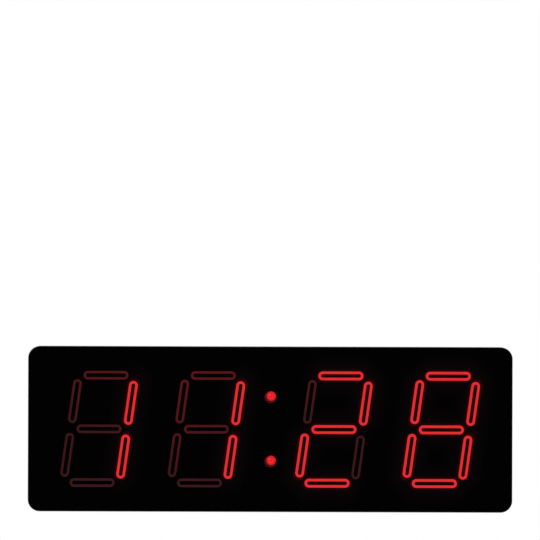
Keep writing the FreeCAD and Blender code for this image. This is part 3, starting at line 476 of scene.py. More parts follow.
def disc(radius, back, front, x=0.0, z=0.0, sides=64, roll=0.0):
    """A closed disc whose axis runs from the back to the front of the clock."""
    bpy.ops.object.select_all(action="DESELECT")
    bpy.ops.mesh.primitive_cylinder_add(
        vertices=sides,
        radius=radius,
        depth=abs(back - front),
        end_fill_type="NGON",
        location=(x, (back + front) / 2, z),
        rotation=(math.pi / 2, roll, 0),
    )
    return opened()


def block(low, high):
    """A block from one corner to the other."""
    low, high = Vector(low), Vector(high)
    bpy.ops.object.select_all(action="DESELECT")
    bpy.ops.mesh.primitive_cube_add(size=1, location=(low + high) / 2, scale=high - low)
    return opened()


# %% Helpers for shaping
LEFT, RIGHT, FRONT, BACK, DOWN, UP = [
    Vector(way) for way in ((-1, 0, 0), (1, 0, 0), (0, -1, 0), (0, 1, 0), (0, 0, -1), (0, 0, 1))
]
STRAIGHT_ON = 0.99


def pick(way, margin=0.01 * MM, where=None):
    """Selects the faces that look one way and lie furthest that way, where their middles pass a test."""
    mesh = bmesh.from_edit_mesh(bpy.context.object.data)
    facing = [face for face in mesh.faces if face.normal.dot(way) > STRAIGHT_ON]
    if where:
        facing = [face for face in facing if where(face.calc_center_median())]
    furthest = max(face.calc_center_median().dot(way) for face in facing)
    for face in mesh.faces:
        face.select_set(False)
    for face in facing:
        if face.calc_center_median().dot(way) > furthest - margin:
            face.select_set(True)
    bmesh.update_edit_mesh(bpy.context.object.data)


def extrude(way, length):
    bpy.ops.mesh.extrude_region_move(TRANSFORM_OT_translate={"value": tuple(way * length)})


def inset(width, rise=0.0):
    bpy.ops.mesh.inset(thickness=width, depth=rise)


def grow(way, radius, *steps):
    """Turns a round end on a lathe, as it were: each step is a length along the way and a new radius."""
    for length, new_radius in steps:
        extrude(way, length)
        ratio = new_radius / radius
        bpy.ops.transform.resize(value=[1 if along else ratio for along in way])
        radius = new_radius


def reach(steps):
    """How far a row of such steps goes."""
    return sum(length for length, radius in steps)


# %% Helpers for finished pieces


def choose(*pieces):
    """Selects these pieces and nothing else; the first is the active one."""
    bpy.ops.object.select_all(action="DESELECT")
    for piece in pieces:
        piece.select_set(True)
    bpy.context.view_layer.objects.active = pieces[0]


def close(piece, smooth=35):
    """Leaves edit mode with outward normals, and shades edges up to an angle smooth."""
    bpy.ops.mesh.select_all(action="SELECT")
    bpy.ops.mesh.normals_make_consistent(inside=False)
    bpy.ops.object.mode_set(mode="OBJECT")
    choose(piece)
    bpy.ops.object.shade_smooth_by_angle(angle=math.radians(smooth))


def joined(*pieces):
    """One piece made of one or more."""
    choose(*pieces)
    if len(pieces) > 1:
        bpy.ops.object.join()
    return pieces[0]


def soften(piece, width, steps=2):
    """Rounds the sharp edges of a finished piece."""
    choose(piece)
    bpy.ops.object.modifier_add(type="BEVEL")
    edge = piece.modifiers[-1]
    edge.width, edge.segments = width, steps
    edge.limit_method, edge.angle_limit = "ANGLE", math.radians(30)
    bpy.ops.object.modifier_apply(modifier=edge.name)


def carve(piece, cutter):
    """Takes the cutter's shape out of a piece."""
    choose(piece)
    bpy.ops.object.modifier_add(type="BOOLEAN")
    cut = piece.modifiers[-1]
    cut.operation, cut.object, cut.solver = "DIFFERENCE", cutter, "EXACT"
    bpy.ops.object.modifier_apply(modifier=cut.name)
    bpy.data.objects.remove(cutter)


def copy_to(piece, x, z, turn=0.0, y=0.0, about_face=0.0):
    """A copy with its own mesh, turned in the clock's plane and then about the upright."""
    choose(piece)
    bpy.ops.object.duplicate()
    twin = bpy.context.object
    twin.location = (x, y, z)
    twin.rotation_euler = (0, turn, about_face)
    bpy.ops.object.transform_apply(location=True, rotation=True, scale=True)
    return twin


def wear(name, piece, finish, body="case", stands_for=()):
    """Gives a piece its name, finish and slot, the body it rides on and the nodes it stands for."""
    piece.name = name
    piece.data.materials.clear()
    piece.data.materials.append(finish.material)
    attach(piece, body)
    if stands_for:
        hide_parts(*stands_for)


# %% [markdown]
# Signs are built from four small shapes, and each is given the span of depth that it fills: a bar, a
# prism, a plus and a flat ring. The plus is drawn out of the sides of a block, and the ring is a disc
# whose middle is sunk out of sight.

# %% Helpers for signs
RING_SUNK = 0.85


def bar(span, x, z, long, wide, turn=0.0):
    """A bar, turned about its middle."""
    strip = block((-long / 2, span[0], -wide / 2), (long / 2, span[1], wide / 2))
    close(strip)
    placed = copy_to(strip, x, z, turn)
    bpy.data.objects.remove(strip)
    return placed


def prism(span, x, z, radius, sides=32, roll=0.0):
    """A round or three-cornered prism. Three corners point up."""
    piece = disc(radius, span[1], span[0], x, z, sides, roll)
    close(piece)
    return piece


def ring(span, x, z, radius, line):
    """A flat ring."""
    piece = disc(radius, span[1], span[0], x, z, sides=32)
    pick(BACK)
    inset(line)
    extrude(FRONT, RING_SUNK * (span[1] - span[0]))
    close(piece)
    return piece


def cross(span, x, z, arm, wide):
    """A plus: of all faces that look one way, the block's own is nearest to the middle."""
    piece = block((x - wide / 2, span[0], z - wide / 2), (x + wide / 2, span[1], z + wide / 2))
    for way in (LEFT, RIGHT, UP, DOWN):
        pick(way, where=lambda spot: math.hypot(spot.x - x, spot.z - z) < 0.6 * wide)
        extrude(way, arm - wide / 2)
    close(piece)
    return piece


# %% [markdown]
# A guide starts as a round flange of 64 sides. Its two halves are moved apart to make a long flange with
# round ends, and the rest is grown from its two flat faces: a rim towards the viewer, a slot sunk into
# that rim, and a foot towards the board. The rim is crowned by a few small insets, because a moulded
# edge is never sharp, and the crown is what catches the light from the side. The seven guides of a digit
# come from two patterns, one for the bars and a shorter one for the posts that lean with the digit.

# %% Model the light guides
FLANGE_RADIUS, FLANGE_THICK, FLANGE_SIDES = (bar_high.z - bar_low.z) / 2, 1.2 * MM, 64
RIM_RADIUS, SLOT_RADIUS = mm(4.55, 1.95)
SLOT_FLOOR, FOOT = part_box("segment_cores")[1].y, bar_high.y
SHOULDER, SHOULDER_SUNK = mm(0.25, 0.08)
CROWN, CROWN_SUNK = mm(0.45, 0.04)


def guide_pattern(length):
    """One light guide, lying along X about the middle of the clock's frame."""
    flange_back = panel_back_y + FLANGE_THICK
    start = math.pi / FLANGE_SIDES
    guide = disc(FLANGE_RADIUS, flange_back, panel_back_y, sides=FLANGE_SIDES, roll=start)
    for vertex in bmesh.from_edit_mesh(guide.data).verts:
        vertex.co.x += math.copysign(length / 2, vertex.co.x)
    rim_shoulder = front_y + SHOULDER_SUNK + CROWN_SUNK
    pick(FRONT)
    inset(FLANGE_RADIUS - RIM_RADIUS)
    extrude(FRONT, panel_back_y - rim_shoulder)
    inset(SHOULDER, SHOULDER_SUNK)
    inset(CROWN, CROWN_SUNK)
    inset(RIM_RADIUS - SLOT_RADIUS - 2 * SHOULDER - 2 * CROWN)
    inset(CROWN, -CROWN_SUNK)
    inset(SHOULDER, -SHOULDER_SUNK)
    extrude(BACK, SLOT_FLOOR - rim_shoulder)
    pick(BACK)
    inset(FLANGE_RADIUS - RIM_RADIUS)
    extrude(BACK, FOOT - flange_back)
    close(guide)
    return guide


bar_pattern, post_pattern = guide_pattern(BAR_LENGTH), guide_pattern(POST_LENGTH)
for digit in LIT:
    for letter in LETTERS:
        node = guide_name(digit, letter)
        spot = centre(node)
        pattern, turn = (bar_pattern, 0.0) if letter in BARS else (post_pattern, LEAN - math.pi / 2)
        guide = copy_to(pattern, spot.x, spot.z, turn)
        finish, slot = (guide_lit, "guide_lit") if letter in LIT[digit] else (guide_unlit, "guide_unlit")
        wear(f"guide_{digit}{letter}", guide, finish, stands_for=[node])
for pattern in (bar_pattern, post_pattern):
    bpy.data.objects.remove(pattern)
print(f"{len(LIT) * len(LETTERS)} guides of {len(guide.data.polygons)} faces each")

# %% [markdown]
# ## Colon lamps
#
# The two dots are ordinary round lamps 10 mm across. A real one is cast in red resin: a flange with one
# flat side, a straight body and a domed tip, with two legs out of its back. It could be a stretched
# sphere on a cylinder. Here the dome is turned from the flat end of the body in steps that follow a
# circle, so the flange, the body and the dome stay one closed skin. The dome is brightest where the
# light comes up through it and a little pinker at the rim, and the flange behind is only dimly lit.

# %% Model the colon lamps
LAMP_RADIUS, LAMP_RIM_RADIUS, LAMP_RIM_THICK = mm(5.0, 5.75, 1.0)
LAMP_FLAT_AT = 5.25 * MM
DISPLAY_BOARD_FRONT, DISPLAY_BOARD_BACK = [corner.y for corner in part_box("display_board")]
DOME_STEPS, TIP_SHORT = 10, math.radians(1)


def colon_lamp(x, z, tip):
    """A lamp that stands on the front of the display board. Its dome ends in a tiny flat."""
    rim_front = DISPLAY_BOARD_FRONT - LAMP_RIM_THICK
    lamp = disc(LAMP_RIM_RADIUS, DISPLAY_BOARD_FRONT, rim_front, x, z, sides=48)
    for vertex in bmesh.from_edit_mesh(lamp.data).verts:
        vertex.co.x = max(vertex.co.x, x - LAMP_FLAT_AT)
    pick(FRONT)
    extrude(FRONT, 0.0)
    for vertex in bmesh.from_edit_mesh(lamp.data).verts:
        if vertex.select:
            out = Vector((vertex.co.x - x, 0, vertex.co.z - z)).normalized() * LAMP_RADIUS
            vertex.co.x, vertex.co.z = x + out.x, z + out.z
    angles = [math.radians(90 * step / DOME_STEPS) for step in range(DOME_STEPS + 1)]
    angles[-1] -= TIP_SHORT
    dome = [
        (LAMP_RADIUS * (math.sin(upper) - math.sin(lower)), LAMP_RADIUS * math.cos(upper))
        for lower, upper in zip(angles, angles[1:])
    ]
    grow(FRONT, LAMP_RADIUS, (rim_front - tip - LAMP_RADIUS, LAMP_RADIUS), *dome)
    close(lamp, smooth=40)
    return lamp


DOME_RED, DOME_PINK, FLANGE_RED = opaque(232, 18, 24), opaque(186, 38, 50), opaque(44, 3, 6)
DOME_CORE, DOME_EDGE = mm(3.0, 4.9)

for side in ("upper", "lower"):
    node = f"colon_lamp_{side}"
    spot = centre(node)
    lamp_red = Finish(f"{node}_red", Base_Color=opaque(60, 6, 6), Roughness=0.32)
    x, y, z = lamp_red.xyz()
    off_axis = diagonal(x - spot.x, z - spot.z)
    dome = lamp_red.mix(lamp_red.stretch(off_axis, DOME_CORE, DOME_EDGE), DOME_RED, DOME_PINK)
    lamp_red.shine(lamp_red.stretch(off_axis, DOME_EDGE, LAMP_RADIUS), dome, FLANGE_RED)
    lamp = colon_lamp(spot.x, spot.z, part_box(node)[0].y)
    wear(f"colon_dot_{side}", lamp, lamp_red, stands_for=[node])
print(f"two colon lamps of {len(lamp.data.polygons)} faces each")

# %% [markdown]
# ## Black mouldings
#
# The cover, the battery door, the baffle and the cores are moulded in black. Outside, the tool was spark
# eroded, which leaves an even grain of tiny pits: a fine noise drives the bump, and a coarser one lets
# the sheen wander as it does on a real moulding.

# %% Finish the mouldings
CLOUD_SCALE, PIT_SCALE = 12.0, 2600.0
PIT_SHADE, SHEEN_WANDER, GRAIN_SHEEN = 0.66, 0.05, 0.1


def shaded(colour, share):
    """A colour with only a share of its light."""
    return tuple(share * channel for channel in colour[:3]) + (1.0,)


def sheen(finish, pattern, roughness):
    """A roughness that wanders with a pattern, as a socket."""
    return finish.stretch(pattern, 0.3, 0.7, roughness - SHEEN_WANDER, roughness + SHEEN_WANDER)


def moulded(name, colour, roughness, grain):
    """A moulded plastic with an even grain: a cloudy tone, and painted shade in its pits."""
    finish = Finish(name)
    cloud = finish.noise(CLOUD_SCALE, 3.0)
    pits = finish.noise(PIT_SCALE, 3.0)
    # Painted shade darkens the pits; the cloud adds a random tone of the plastic.
    finish.paint((cloud + pits) / 2, shaded(colour, PIT_SHADE), colour)
    finish.set(Roughness=sheen(finish, cloud, roughness) + (pits - 0.5) * GRAIN_SHEEN)
    finish.bump(pits, grain)
    return finish


cover_black = moulded("cover_black", opaque(40, 40, 42), 0.48, 0.2 * MM)
dress(cover_black, "back_cover", "battery_door")

KEYS = ("set", "up", "down", "dimmer")
button_grey = moulded("button_grey", opaque(112, 112, 115), 0.55, 0.04 * MM)
plunger_white = moulded("plunger_white", opaque(210, 208, 200), 0.4, 0.01 * MM)
dress(plunger_white, *[f"{key}_plunger" for key in KEYS])
dress(moulded("inlet_black", opaque(32, 32, 32), 0.35, 0.01 * MM), "power_inlet")

# %% [markdown]
# Two black mouldings also show a little of the red: the cores inside lit rings, and the baffle's face
# round each colon lamp.

# %% Finish the cores and the baffle
CORE_RED, GLOW_RED = opaque(25, 0, 2), opaque(96, 11, 15)
CORE_LIT, CORE_EDGE = mm(1.6, 2.4)
GLOW_START, GLOW_END, FRONT_SKIN = mm(5.5, 8.6, 0.2)

core_black = moulded("core_black", opaque(2, 1, 1), 0.06, 0.001 * MM)
in_lit_ring = core_black.stretch(lit_distance(core_black), CORE_EDGE, CORE_LIT)
core_black.shine(in_lit_ring, NO_LIGHT, CORE_RED)
dress(core_black, "segment_cores")

upper_lamp, lower_lamp = centre("colon_lamp_upper"), centre("colon_lamp_lower")


def lamp_glow(finish):
    """Adds the light of a colon lamp to the front of what lies round it."""
    x, y, z = finish.xyz()
    height = abs(z - (upper_lamp.z + lower_lamp.z) / 2) - (upper_lamp.z - lower_lamp.z) / 2
    near = finish.stretch(diagonal(x - upper_lamp.x, height), GLOW_END, GLOW_START)
    finish.shine(near * (y < DISPLAY_BOARD_FRONT + FRONT_SKIN), NO_LIGHT, GLOW_RED)


baffle_black = moulded("baffle_black", opaque(14, 13, 13), 0.7, 0.04 * MM)
lamp_glow(baffle_black)
dress(baffle_black, "light_baffle")

# %% [markdown]
# Metal parts carry fine marks from being drawn or rolled, all one way: the noise is stretched along two
# axes, so that it becomes lines. The marks vary the brightness and the roughness a little.

# %% Finish the metals
MARKS_SCALE, MARKS_SHADE = (60, 60, 2400), 0.85


def metal(name, colour, roughness):
    """A metal with fine marks from forming."""
    finish = Finish(name, Metallic=1.0)
    drawn = finish.add("Mapping", {}, {"Vector": finish.place, "Scale": MARKS_SCALE})
    marks = finish.noise(1.0, 4.0, drawn)
    finish.paint(marks, shaded(colour, MARKS_SHADE), colour)
    finish.set(Roughness=sheen(finish, marks, roughness))
    return finish


bright_nickel = metal("bright_nickel", opaque(208, 204, 192), 0.2)
screw_steel = metal("screw_steel", opaque(150, 150, 152), 0.35)
can_steel = metal("can_steel", opaque(172, 172, 175), 0.3)
dress(bright_nickel, "power_inlet_pin", "cell_contacts")
dress(can_steel, "clock_crystal")

# %% [markdown]
# ## Buttons
#
# Each button is a short stem with a flange that keeps it in its tube and a cap that a fingertip rests on.
# The cap is dished, so that the finger finds it, and carries a raised sign: a dial for setting the time,
# a triangle for up and for down, and a sun for the brightness. A dish could be carved out of a solid cap.
# It is turned from a disc instead, ring by ring, which leaves clean faces. The signs are small prisms,
# bars and a ring standing in the dish, no higher than its rim.

# %% Model the buttons
CAP_RADIUS, KEY_FLANGE_RADIUS, STEM_RADIUS = mm(4.2, 5.6, 1.6)
COVER_WALL, KEY_FLANGE_THICK = mm(2.5, 1.2)
CAP_RIM = mm(0.2, 4.15), mm(0.1, 4.0), mm(0.05, 3.82)
DISH = mm(-0.14, 3.3), mm(-0.1, 2.4), mm(-0.05, 1.3), mm(-0.01, 0.4)


def key_cap(node):
    """A button in the place of the frame's one."""
    low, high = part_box(node)
    spot = centre(node)
    flange_front = -COVER_WALL - KEY_FLANGE_THICK
    key = disc(KEY_FLANGE_RADIUS, -COVER_WALL, flange_front, spot.x, spot.z)
    pick(BACK)
    straight = high.y + COVER_WALL - reach(CAP_RIM)
    grow(BACK, KEY_FLANGE_RADIUS, (0, CAP_RADIUS), (straight, CAP_RADIUS), *CAP_RIM, *DISH)
    pick(FRONT)
    grow(FRONT, KEY_FLANGE_RADIUS, (0, STEM_RADIUS), (flange_front - low.y, STEM_RADIUS))
    close(key)
    return key


for key in KEYS:
    node = f"{key}_button"
    wear(f"{key}_cap", key_cap(node), button_grey, f"{key}_key", [node])
print(f"{len(KEYS)} buttons")

# %% Raise the signs on the caps
SIGN_RISE, SIGN_ROUND = mm(0.4, 0.05)
TRIANGLE_RADIUS, TRIANGLE_SHIFT = mm(1.9, 0.4)
SUN_RAYS = 8
SUN_RADIUS, RAY_AT, RAY_LONG, RAY_WIDE = mm(0.9, 1.75, 0.8, 0.3)
DIAL_RADIUS, DIAL_LINE, HAND_WIDE = mm(1.95, 0.35, 0.32)
MINUTE_LONG, MINUTE_UP, HOUR_LONG, HOUR_OUT = mm(1.3, 0.5, 1.0, 0.35)


def sign_of(key, span, x, z):
    """The parts of a button's sign, each from the bottom to the top of the span."""
    if key == "up":
        return [prism(span, x, z - TRIANGLE_SHIFT, TRIANGLE_RADIUS, sides=3)]
    if key == "down":
        return [prism(span, x, z + TRIANGLE_SHIFT, TRIANGLE_RADIUS, sides=3, roll=math.pi)]
    if key == "dimmer":
        parts = [prism(span, x, z, SUN_RADIUS)]
        for turn in [math.tau * ray / SUN_RAYS for ray in range(SUN_RAYS)]:
            ray_x, ray_z = x + RAY_AT * math.cos(turn), z - RAY_AT * math.sin(turn)
            parts.append(bar(span, ray_x, ray_z, RAY_LONG, RAY_WIDE, turn))
        return parts
    minute_hand = bar(span, x, z + MINUTE_UP, HAND_WIDE, MINUTE_LONG)
    hour_hand = bar(span, x + HOUR_OUT, z, HOUR_LONG, HAND_WIDE)
    return [ring(span, x, z, DIAL_RADIUS, DIAL_LINE), minute_hand, hour_hand]


for key in KEYS:
    spot, top = centre(f"{key}_button"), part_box(f"{key}_button")[1].y
    sign = joined(*sign_of(key, (top - SIGN_RISE, top), spot.x, spot.z))
    soften(sign, SIGN_ROUND, 1)
    wear(f"{key}_sign", sign, plunger_white, f"{key}_key")
print("signs: dial, up, down, sun")

# %% [markdown]
# ## Battery door and coin cell
#
# The door is pushed sideways by its ribs, and a moulded arrow says which way. Under it lies the coin
# cell. A real cell is a can with a rolled rim that grips a plastic ring and a smaller lid, and its flat
# side is stamped with a plus. It is turned from one disc like the buttons, and the plus stands on it.

# %% Model the arrow on the door
ARROW_RISE, ARROW_ROUND = mm(0.5, 0.1)
SHAFT_AT, SHAFT_LONG, SHAFT_WIDE = mm(22, 4, 1.2)
HEAD_AT, HEAD_RADIUS = mm(24.6, 2.2)

low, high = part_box("battery_door")
span = high.y - ARROW_RISE, high.y
arrow_z = (low.z + high.z) / 2
shaft = bar(span, low.x + SHAFT_AT, arrow_z, SHAFT_LONG, SHAFT_WIDE)
head = prism(span, low.x + HEAD_AT, arrow_z, HEAD_RADIUS, sides=3, roll=math.pi / 2)
arrow = joined(shaft, head)
soften(arrow, ARROW_ROUND)
wear("door_arrow", arrow, cover_black, "door")
print("arrow on the battery door")

# %% Model the coin cell
CELL_RIM = mm(0.2, 9.94), mm(0.12, 9.8), mm(0.08, 9.5)
CELL_FLAT = mm(-0.1, 9.1)
CELL_RING = mm(0.15, 9.9), mm(0.05, 9.7), mm(-0.25, 9.45)
CELL_LID = mm(0.1, 9.2), mm(0.35, 9.1), mm(0.1, 8.8)
PLUS_UP, PLUS_REACH, PLUS_WIDE, PLUS_ROUND = mm(5, 1.9, 0.8, 0.04)

low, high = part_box("coin_cell")
spot, cell_radius = centre("coin_cell"), (high.x - low.x) / 2
can_back, can_front = high.y - reach(CELL_RIM), low.y + reach(CELL_RING + CELL_LID)
cell = disc(cell_radius, can_back, can_front, spot.x, spot.z, sides=96)
pick(BACK)
grow(BACK, cell_radius, *CELL_RIM, CELL_FLAT)
pick(FRONT)
grow(FRONT, cell_radius, *CELL_RING, *CELL_LID)
close(cell)
plus = cross((can_back, high.y), spot.x, spot.z + PLUS_UP, PLUS_REACH, PLUS_WIDE)
soften(plus, PLUS_ROUND, 1)
wear("coin_cell_can", joined(cell, plus), can_steel, stands_for=["coin_cell"])
print(f"coin cell {2000 * cell_radius:.0f} mm across")

# %% [markdown]
# ## Screws
#
# The screws are pan heads with a cross recess. A spiral thread could be spun, but at this size a row of
# close ridges looks the same, so head and thread are turned in one go. The recess is cut with a tapered
# cross, which is a small block whose four sides are drawn out. One screw is made for each size and
# copied to where the CAD has them.

# %% Model a screw
PITCH = 1.1 * MM
HOUSING_SCREW = {"head": 2.8 * MM, "head_thick": 2.2 * MM, "radius": 1.45 * MM, "length": 12 * MM}
BOARD_SCREW = {"head": 2.4 * MM, "head_thick": 1.7 * MM, "radius": 1.2 * MM, "length": 7 * MM}
HEAD_SIDE, HEAD_ROUNDING = 0.35, ((0.25, 0.98), (0.2, 0.9), (0.12, 0.75), (0.08, 0.58))
CORE_SHARE, PLAIN_END, TIP_LONG = 0.76, 1.5 * MM, 0.3 * MM
RECESS_FLOOR, RECESS_REACH, RECESS_WIDE, RECESS_TAPER = 0.5, 0.6, 0.28, 0.6


def screw_pattern(head, head_thick, radius, length):
    """A screw on the Y axis, its head's underside at y = 0, driven towards the front."""
    screw = disc(head, HEAD_SIDE * head_thick, 0, sides=32)
    pick(BACK)
    grow(BACK, head, *[(high * head_thick, wide * head) for high, wide in HEAD_ROUNDING])
    pick(FRONT)
    core = CORE_SHARE * radius
    turns = int((length - PLAIN_END) / PITCH)
    ridge = [(0.3 * PITCH, core), (0.3 * PITCH, radius), (0.1 * PITCH, radius), (0.3 * PITCH, core)]
    grow(FRONT, head, (0, core), *ridge * turns)
    grow(FRONT, core, (length - turns * PITCH - TIP_LONG, 0.8 * core), (TIP_LONG, 0.3 * core))
    close(screw)

    recess = RECESS_FLOOR * head_thick, 1.2 * head_thick
    cutter = cross(recess, 0, 0, RECESS_REACH * head, RECESS_WIDE * head)
    bpy.ops.object.mode_set(mode="EDIT")
    pick(FRONT)
    bpy.ops.transform.resize(value=(RECESS_TAPER, 1, RECESS_TAPER))
    bpy.ops.object.mode_set(mode="OBJECT")
    carve(screw, cutter)
    return screw


def screw_rows(name, node, pattern, *rows):
    """Puts a screw in rows, each with its xs, heights from the middle, y and turn, as one piece."""
    screws = [
        copy_to(pattern, x * MM, middle.z + z * MM, y=y, about_face=about_face)
        for xs, heights, y, about_face in rows
        for x in xs
        for z in heights
    ]
    bpy.data.objects.remove(pattern)
    wear(name, joined(*screws), screw_steel, stands_for=[node])
    print(f"{name}: {len(screws)}")


# %% Drive the screws
WELL_FLOOR = -10 * MM
CONTROL_BOARD_FRONT, CONTROL_BOARD_BACK = [corner.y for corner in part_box("control_board")]

cover_row = ((-240, -80, 80, 240), (-76, 76), WELL_FLOOR, 0)
screw_rows("cover_screws", "housing_screws", screw_pattern(**HOUSING_SCREW), cover_row)

display_row = ((-214.5, -71.5, 71.5, 214.5), (-67, 67), DISPLAY_BOARD_BACK, 0)
control_row = ((-56, 56), (-42, 4), CONTROL_BOARD_FRONT, math.pi)
screw_rows("small_screws", "board_screws", screw_pattern(**BOARD_SCREW), display_row, control_row)

# %% [markdown]
# ## Plug bay
#
# Beside a round inlet a maker moulds the sign that says which contact is which: a ring with a dot for
# the two contacts of the plug, and a line from each to its minus or plus. It stands 0.2 mm proud of the
# bay's floor. It could be a decal, but a moulded sign is what this black cover would have.

# %% Mould the polarity sign
BAY_FLOOR, BAY_SIGN_RISE, BAY_SIGN_UP = mm(-14, 0.2, 20)
END_AT, END_RING, MIDDLE_RING, RING_LINE = mm(5.4, 1.5, 1.9, 0.35)
LINE_AT, LINE_LONG, DOT_RADIUS = mm(2.9, 2.1, 0.7)
POLE_HALF, POLE_WIDE = mm(0.8, 0.3)

span = BAY_FLOOR - BAY_SIGN_RISE, BAY_FLOOR + BAY_SIGN_RISE
x, z = centre("power_inlet").x, cover_low.z + BAY_SIGN_UP
places = (-END_AT, END_RING), (0, MIDDLE_RING), (END_AT, END_RING)
rings = [ring(span, x + at, z, radius, RING_LINE) for at, radius in places]
lines = [bar(span, x + at, z, LINE_LONG, RING_LINE) for at in (-LINE_AT, LINE_AT)]
dot = prism(span, x, z, DOT_RADIUS)
plus = cross(span, x - END_AT, z, POLE_HALF, POLE_WIDE)
minus = bar(span, x + END_AT, z, 2 * POLE_HALF, POLE_WIDE)
wear("polarity_sign", joined(*rings, *lines, dot, plus, minus), cover_black)
print("polarity sign on the floor of the plug bay")

# %% [markdown]
# ## Circuit boards
#
# Both boards are green glass-fibre. Under the green lacquer run copper tracks, which show as paler lines,
# and the sawn edge is bare and tan. The tracks are too thin to model, so a brick pattern draws them as
# its joints, and a cloudy mask hides some, so that they end here and there as real ones do. That node
# takes no size under 0.01, so it works in centimetres. Near the colon lamps the front of the long board
# also gets some of their light.

# %% Finish the boards
TRACKS = {
    "Scale": 100.0,
    "Mortar Size": 0.018,
    "Mortar Smooth": 0.1,
    "Brick Width": 5.2,
    "Row Height": 0.18,
}
LACQUER, TRACK_GREEN, BARE_EDGE = opaque(18, 84, 44), opaque(44, 128, 70), opaque(172, 156, 104)
MASK_SCALE, MASK_START, MASK_END = 45.0, 0.5, 0.53
EDGE_SKIN = 0.02 * MM


def board(name, node):
    """Green lacquer over tracks, and a bare edge all round."""
    finish = moulded(name, LACQUER, 0.32, 0.006 * MM)
    low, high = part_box(node)
    spot, half = centre(node), (high - low) / 2
    x, y, z = finish.xyz()
    flat = finish.add("CombineXYZ", {}, {0: x, 1: z})
    tracks = finish.add("TexBrick", {"offset": 0.35}, {"Vector": flat, **TRACKS}, output="Fac")
    here = finish.stretch(finish.noise(MASK_SCALE, 1.0), MASK_START, MASK_END)
    lacquer = finish.mix(tracks * here, LACQUER, TRACK_GREEN)
    inwards = finish.math("MINIMUM", half.x - abs(x - spot.x), half.z - abs(z - spot.z))
    finish.paint(inwards < EDGE_SKIN, lacquer, BARE_EDGE)
    return finish


control_green = board("control_green", "control_board")
dress(control_green, "control_board")
display_green = board("display_green", "display_board")
lamp_glow(display_green)
dress(display_green, "display_board")

# %% [markdown]
# ## Chips and resistors
#
# A chip's body is black resin and its legs are tinned, and both are in one node of the frame. Where the
# body ends the legs begin, so the finish turns to metal at that distance from the chip's middle line.
# The tiny resistors are black with a metal cap at each end, which is the same rule with other numbers.

# %% Finish the chips
RESIN_DEEP, RESIN_PALE, TINNED = opaque(30, 30, 32), opaque(38, 38, 40), opaque(190, 190, 188)
CHIP_HALF_BODY, RESISTOR_HALF_BODY = mm(3.76, 0.65)
RESIN_SCALE = 400.0


def tipped(name, node, half_body, roughness=0.5):
    """Black in the middle and metal beyond a distance up and down from the node's middle height."""
    finish = moulded(name, RESIN_DEEP, roughness, 0.01 * MM)
    x, y, z = finish.xyz()
    ends = abs(z - centre(node).z) > half_body
    resin = finish.mix(finish.noise(RESIN_SCALE), RESIN_DEEP, RESIN_PALE)
    finish.paint(ends, resin, TINNED)
    finish.set(Metallic=ends)
    return finish


dress(tipped("driver_chip_black", "driver_chips", CHIP_HALF_BODY), "driver_chips")
dress(tipped("control_chip_black", "control_chip", CHIP_HALF_BODY), "control_chip")
dress(tipped("resistor_black", "segment_resistors", RESISTOR_HALF_BODY, 0.3), "segment_resistors")

# %% [markdown]
# ## Surface lamps
#
# Behind each guide sit three lamps the size of a rice grain. Each is a white ceramic block with a square
# cup full of yellowish resin. One is modelled: the block's front is inset and sunk for the cup, and its
# edges are softened. The rest are copies, set out along their segment.

# %% Model the surface lamps
CHIP_LAMP = Vector((3.5, 1.9, 2.8)) * MM
CHIP_LAMP_STEP = 14 * MM
CUP_WALL, CUP_DEPTH, CUP_BEVEL, CUP_RISE, CHIP_ROUND = mm(0.45, 0.35, 0.2, 0.12, 0.08)
CERAMIC, CUP_RESIN, CUP_END = opaque(232, 228, 214), opaque(216, 196, 120), 0.3 * MM

lamp_front_y = DISPLAY_BOARD_FRONT - CHIP_LAMP.y
pattern = block(
    (-CHIP_LAMP.x / 2, lamp_front_y, -CHIP_LAMP.z / 2),
    (CHIP_LAMP.x / 2, DISPLAY_BOARD_FRONT, CHIP_LAMP.z / 2),
)
pick(FRONT)
inset(CUP_WALL)
extrude(BACK, CUP_DEPTH)
inset(CUP_BEVEL, CUP_RISE)
close(pattern)
soften(pattern, CHIP_ROUND, 1)

lamps = []
for digit in LIT:
    for letter in LETTERS:
        spot = centre(guide_name(digit, letter))
        along, turn = (0.0, 0.0) if letter in BARS else (LEAN - math.pi / 2, math.pi / 2)
        for step in (-CHIP_LAMP_STEP, 0, CHIP_LAMP_STEP):
            x, z = spot.x + step * math.cos(along), spot.z - step * math.sin(along)
            lamps.append(copy_to(pattern, x, z, turn))
bpy.data.objects.remove(pattern)
chip_lamp_white = moulded("chip_lamp_white", CERAMIC, 0.4, 0.004 * MM)
cup = chip_lamp_white.stretch(chip_lamp_white.xyz()[1], lamp_front_y, lamp_front_y + CUP_END)
chip_lamp_white.paint(cup, CERAMIC, CUP_RESIN)
wear("surface_lamps", joined(*lamps), chip_lamp_white, stands_for=["segment_lamps"])
print(f"{len(lamps)} surface lamps")

# %% [markdown]
# ## Capacitors
#
# Each capacitor is an aluminium can in a shrunk blue sleeve with a pale stripe. The sleeve folds over the
# rim and leaves a bare top, scored with a cross so that it can burst safely. Near the foot a groove is
# rolled in to hold the rubber plug. The can is turned, and a thin plus stands for the score.

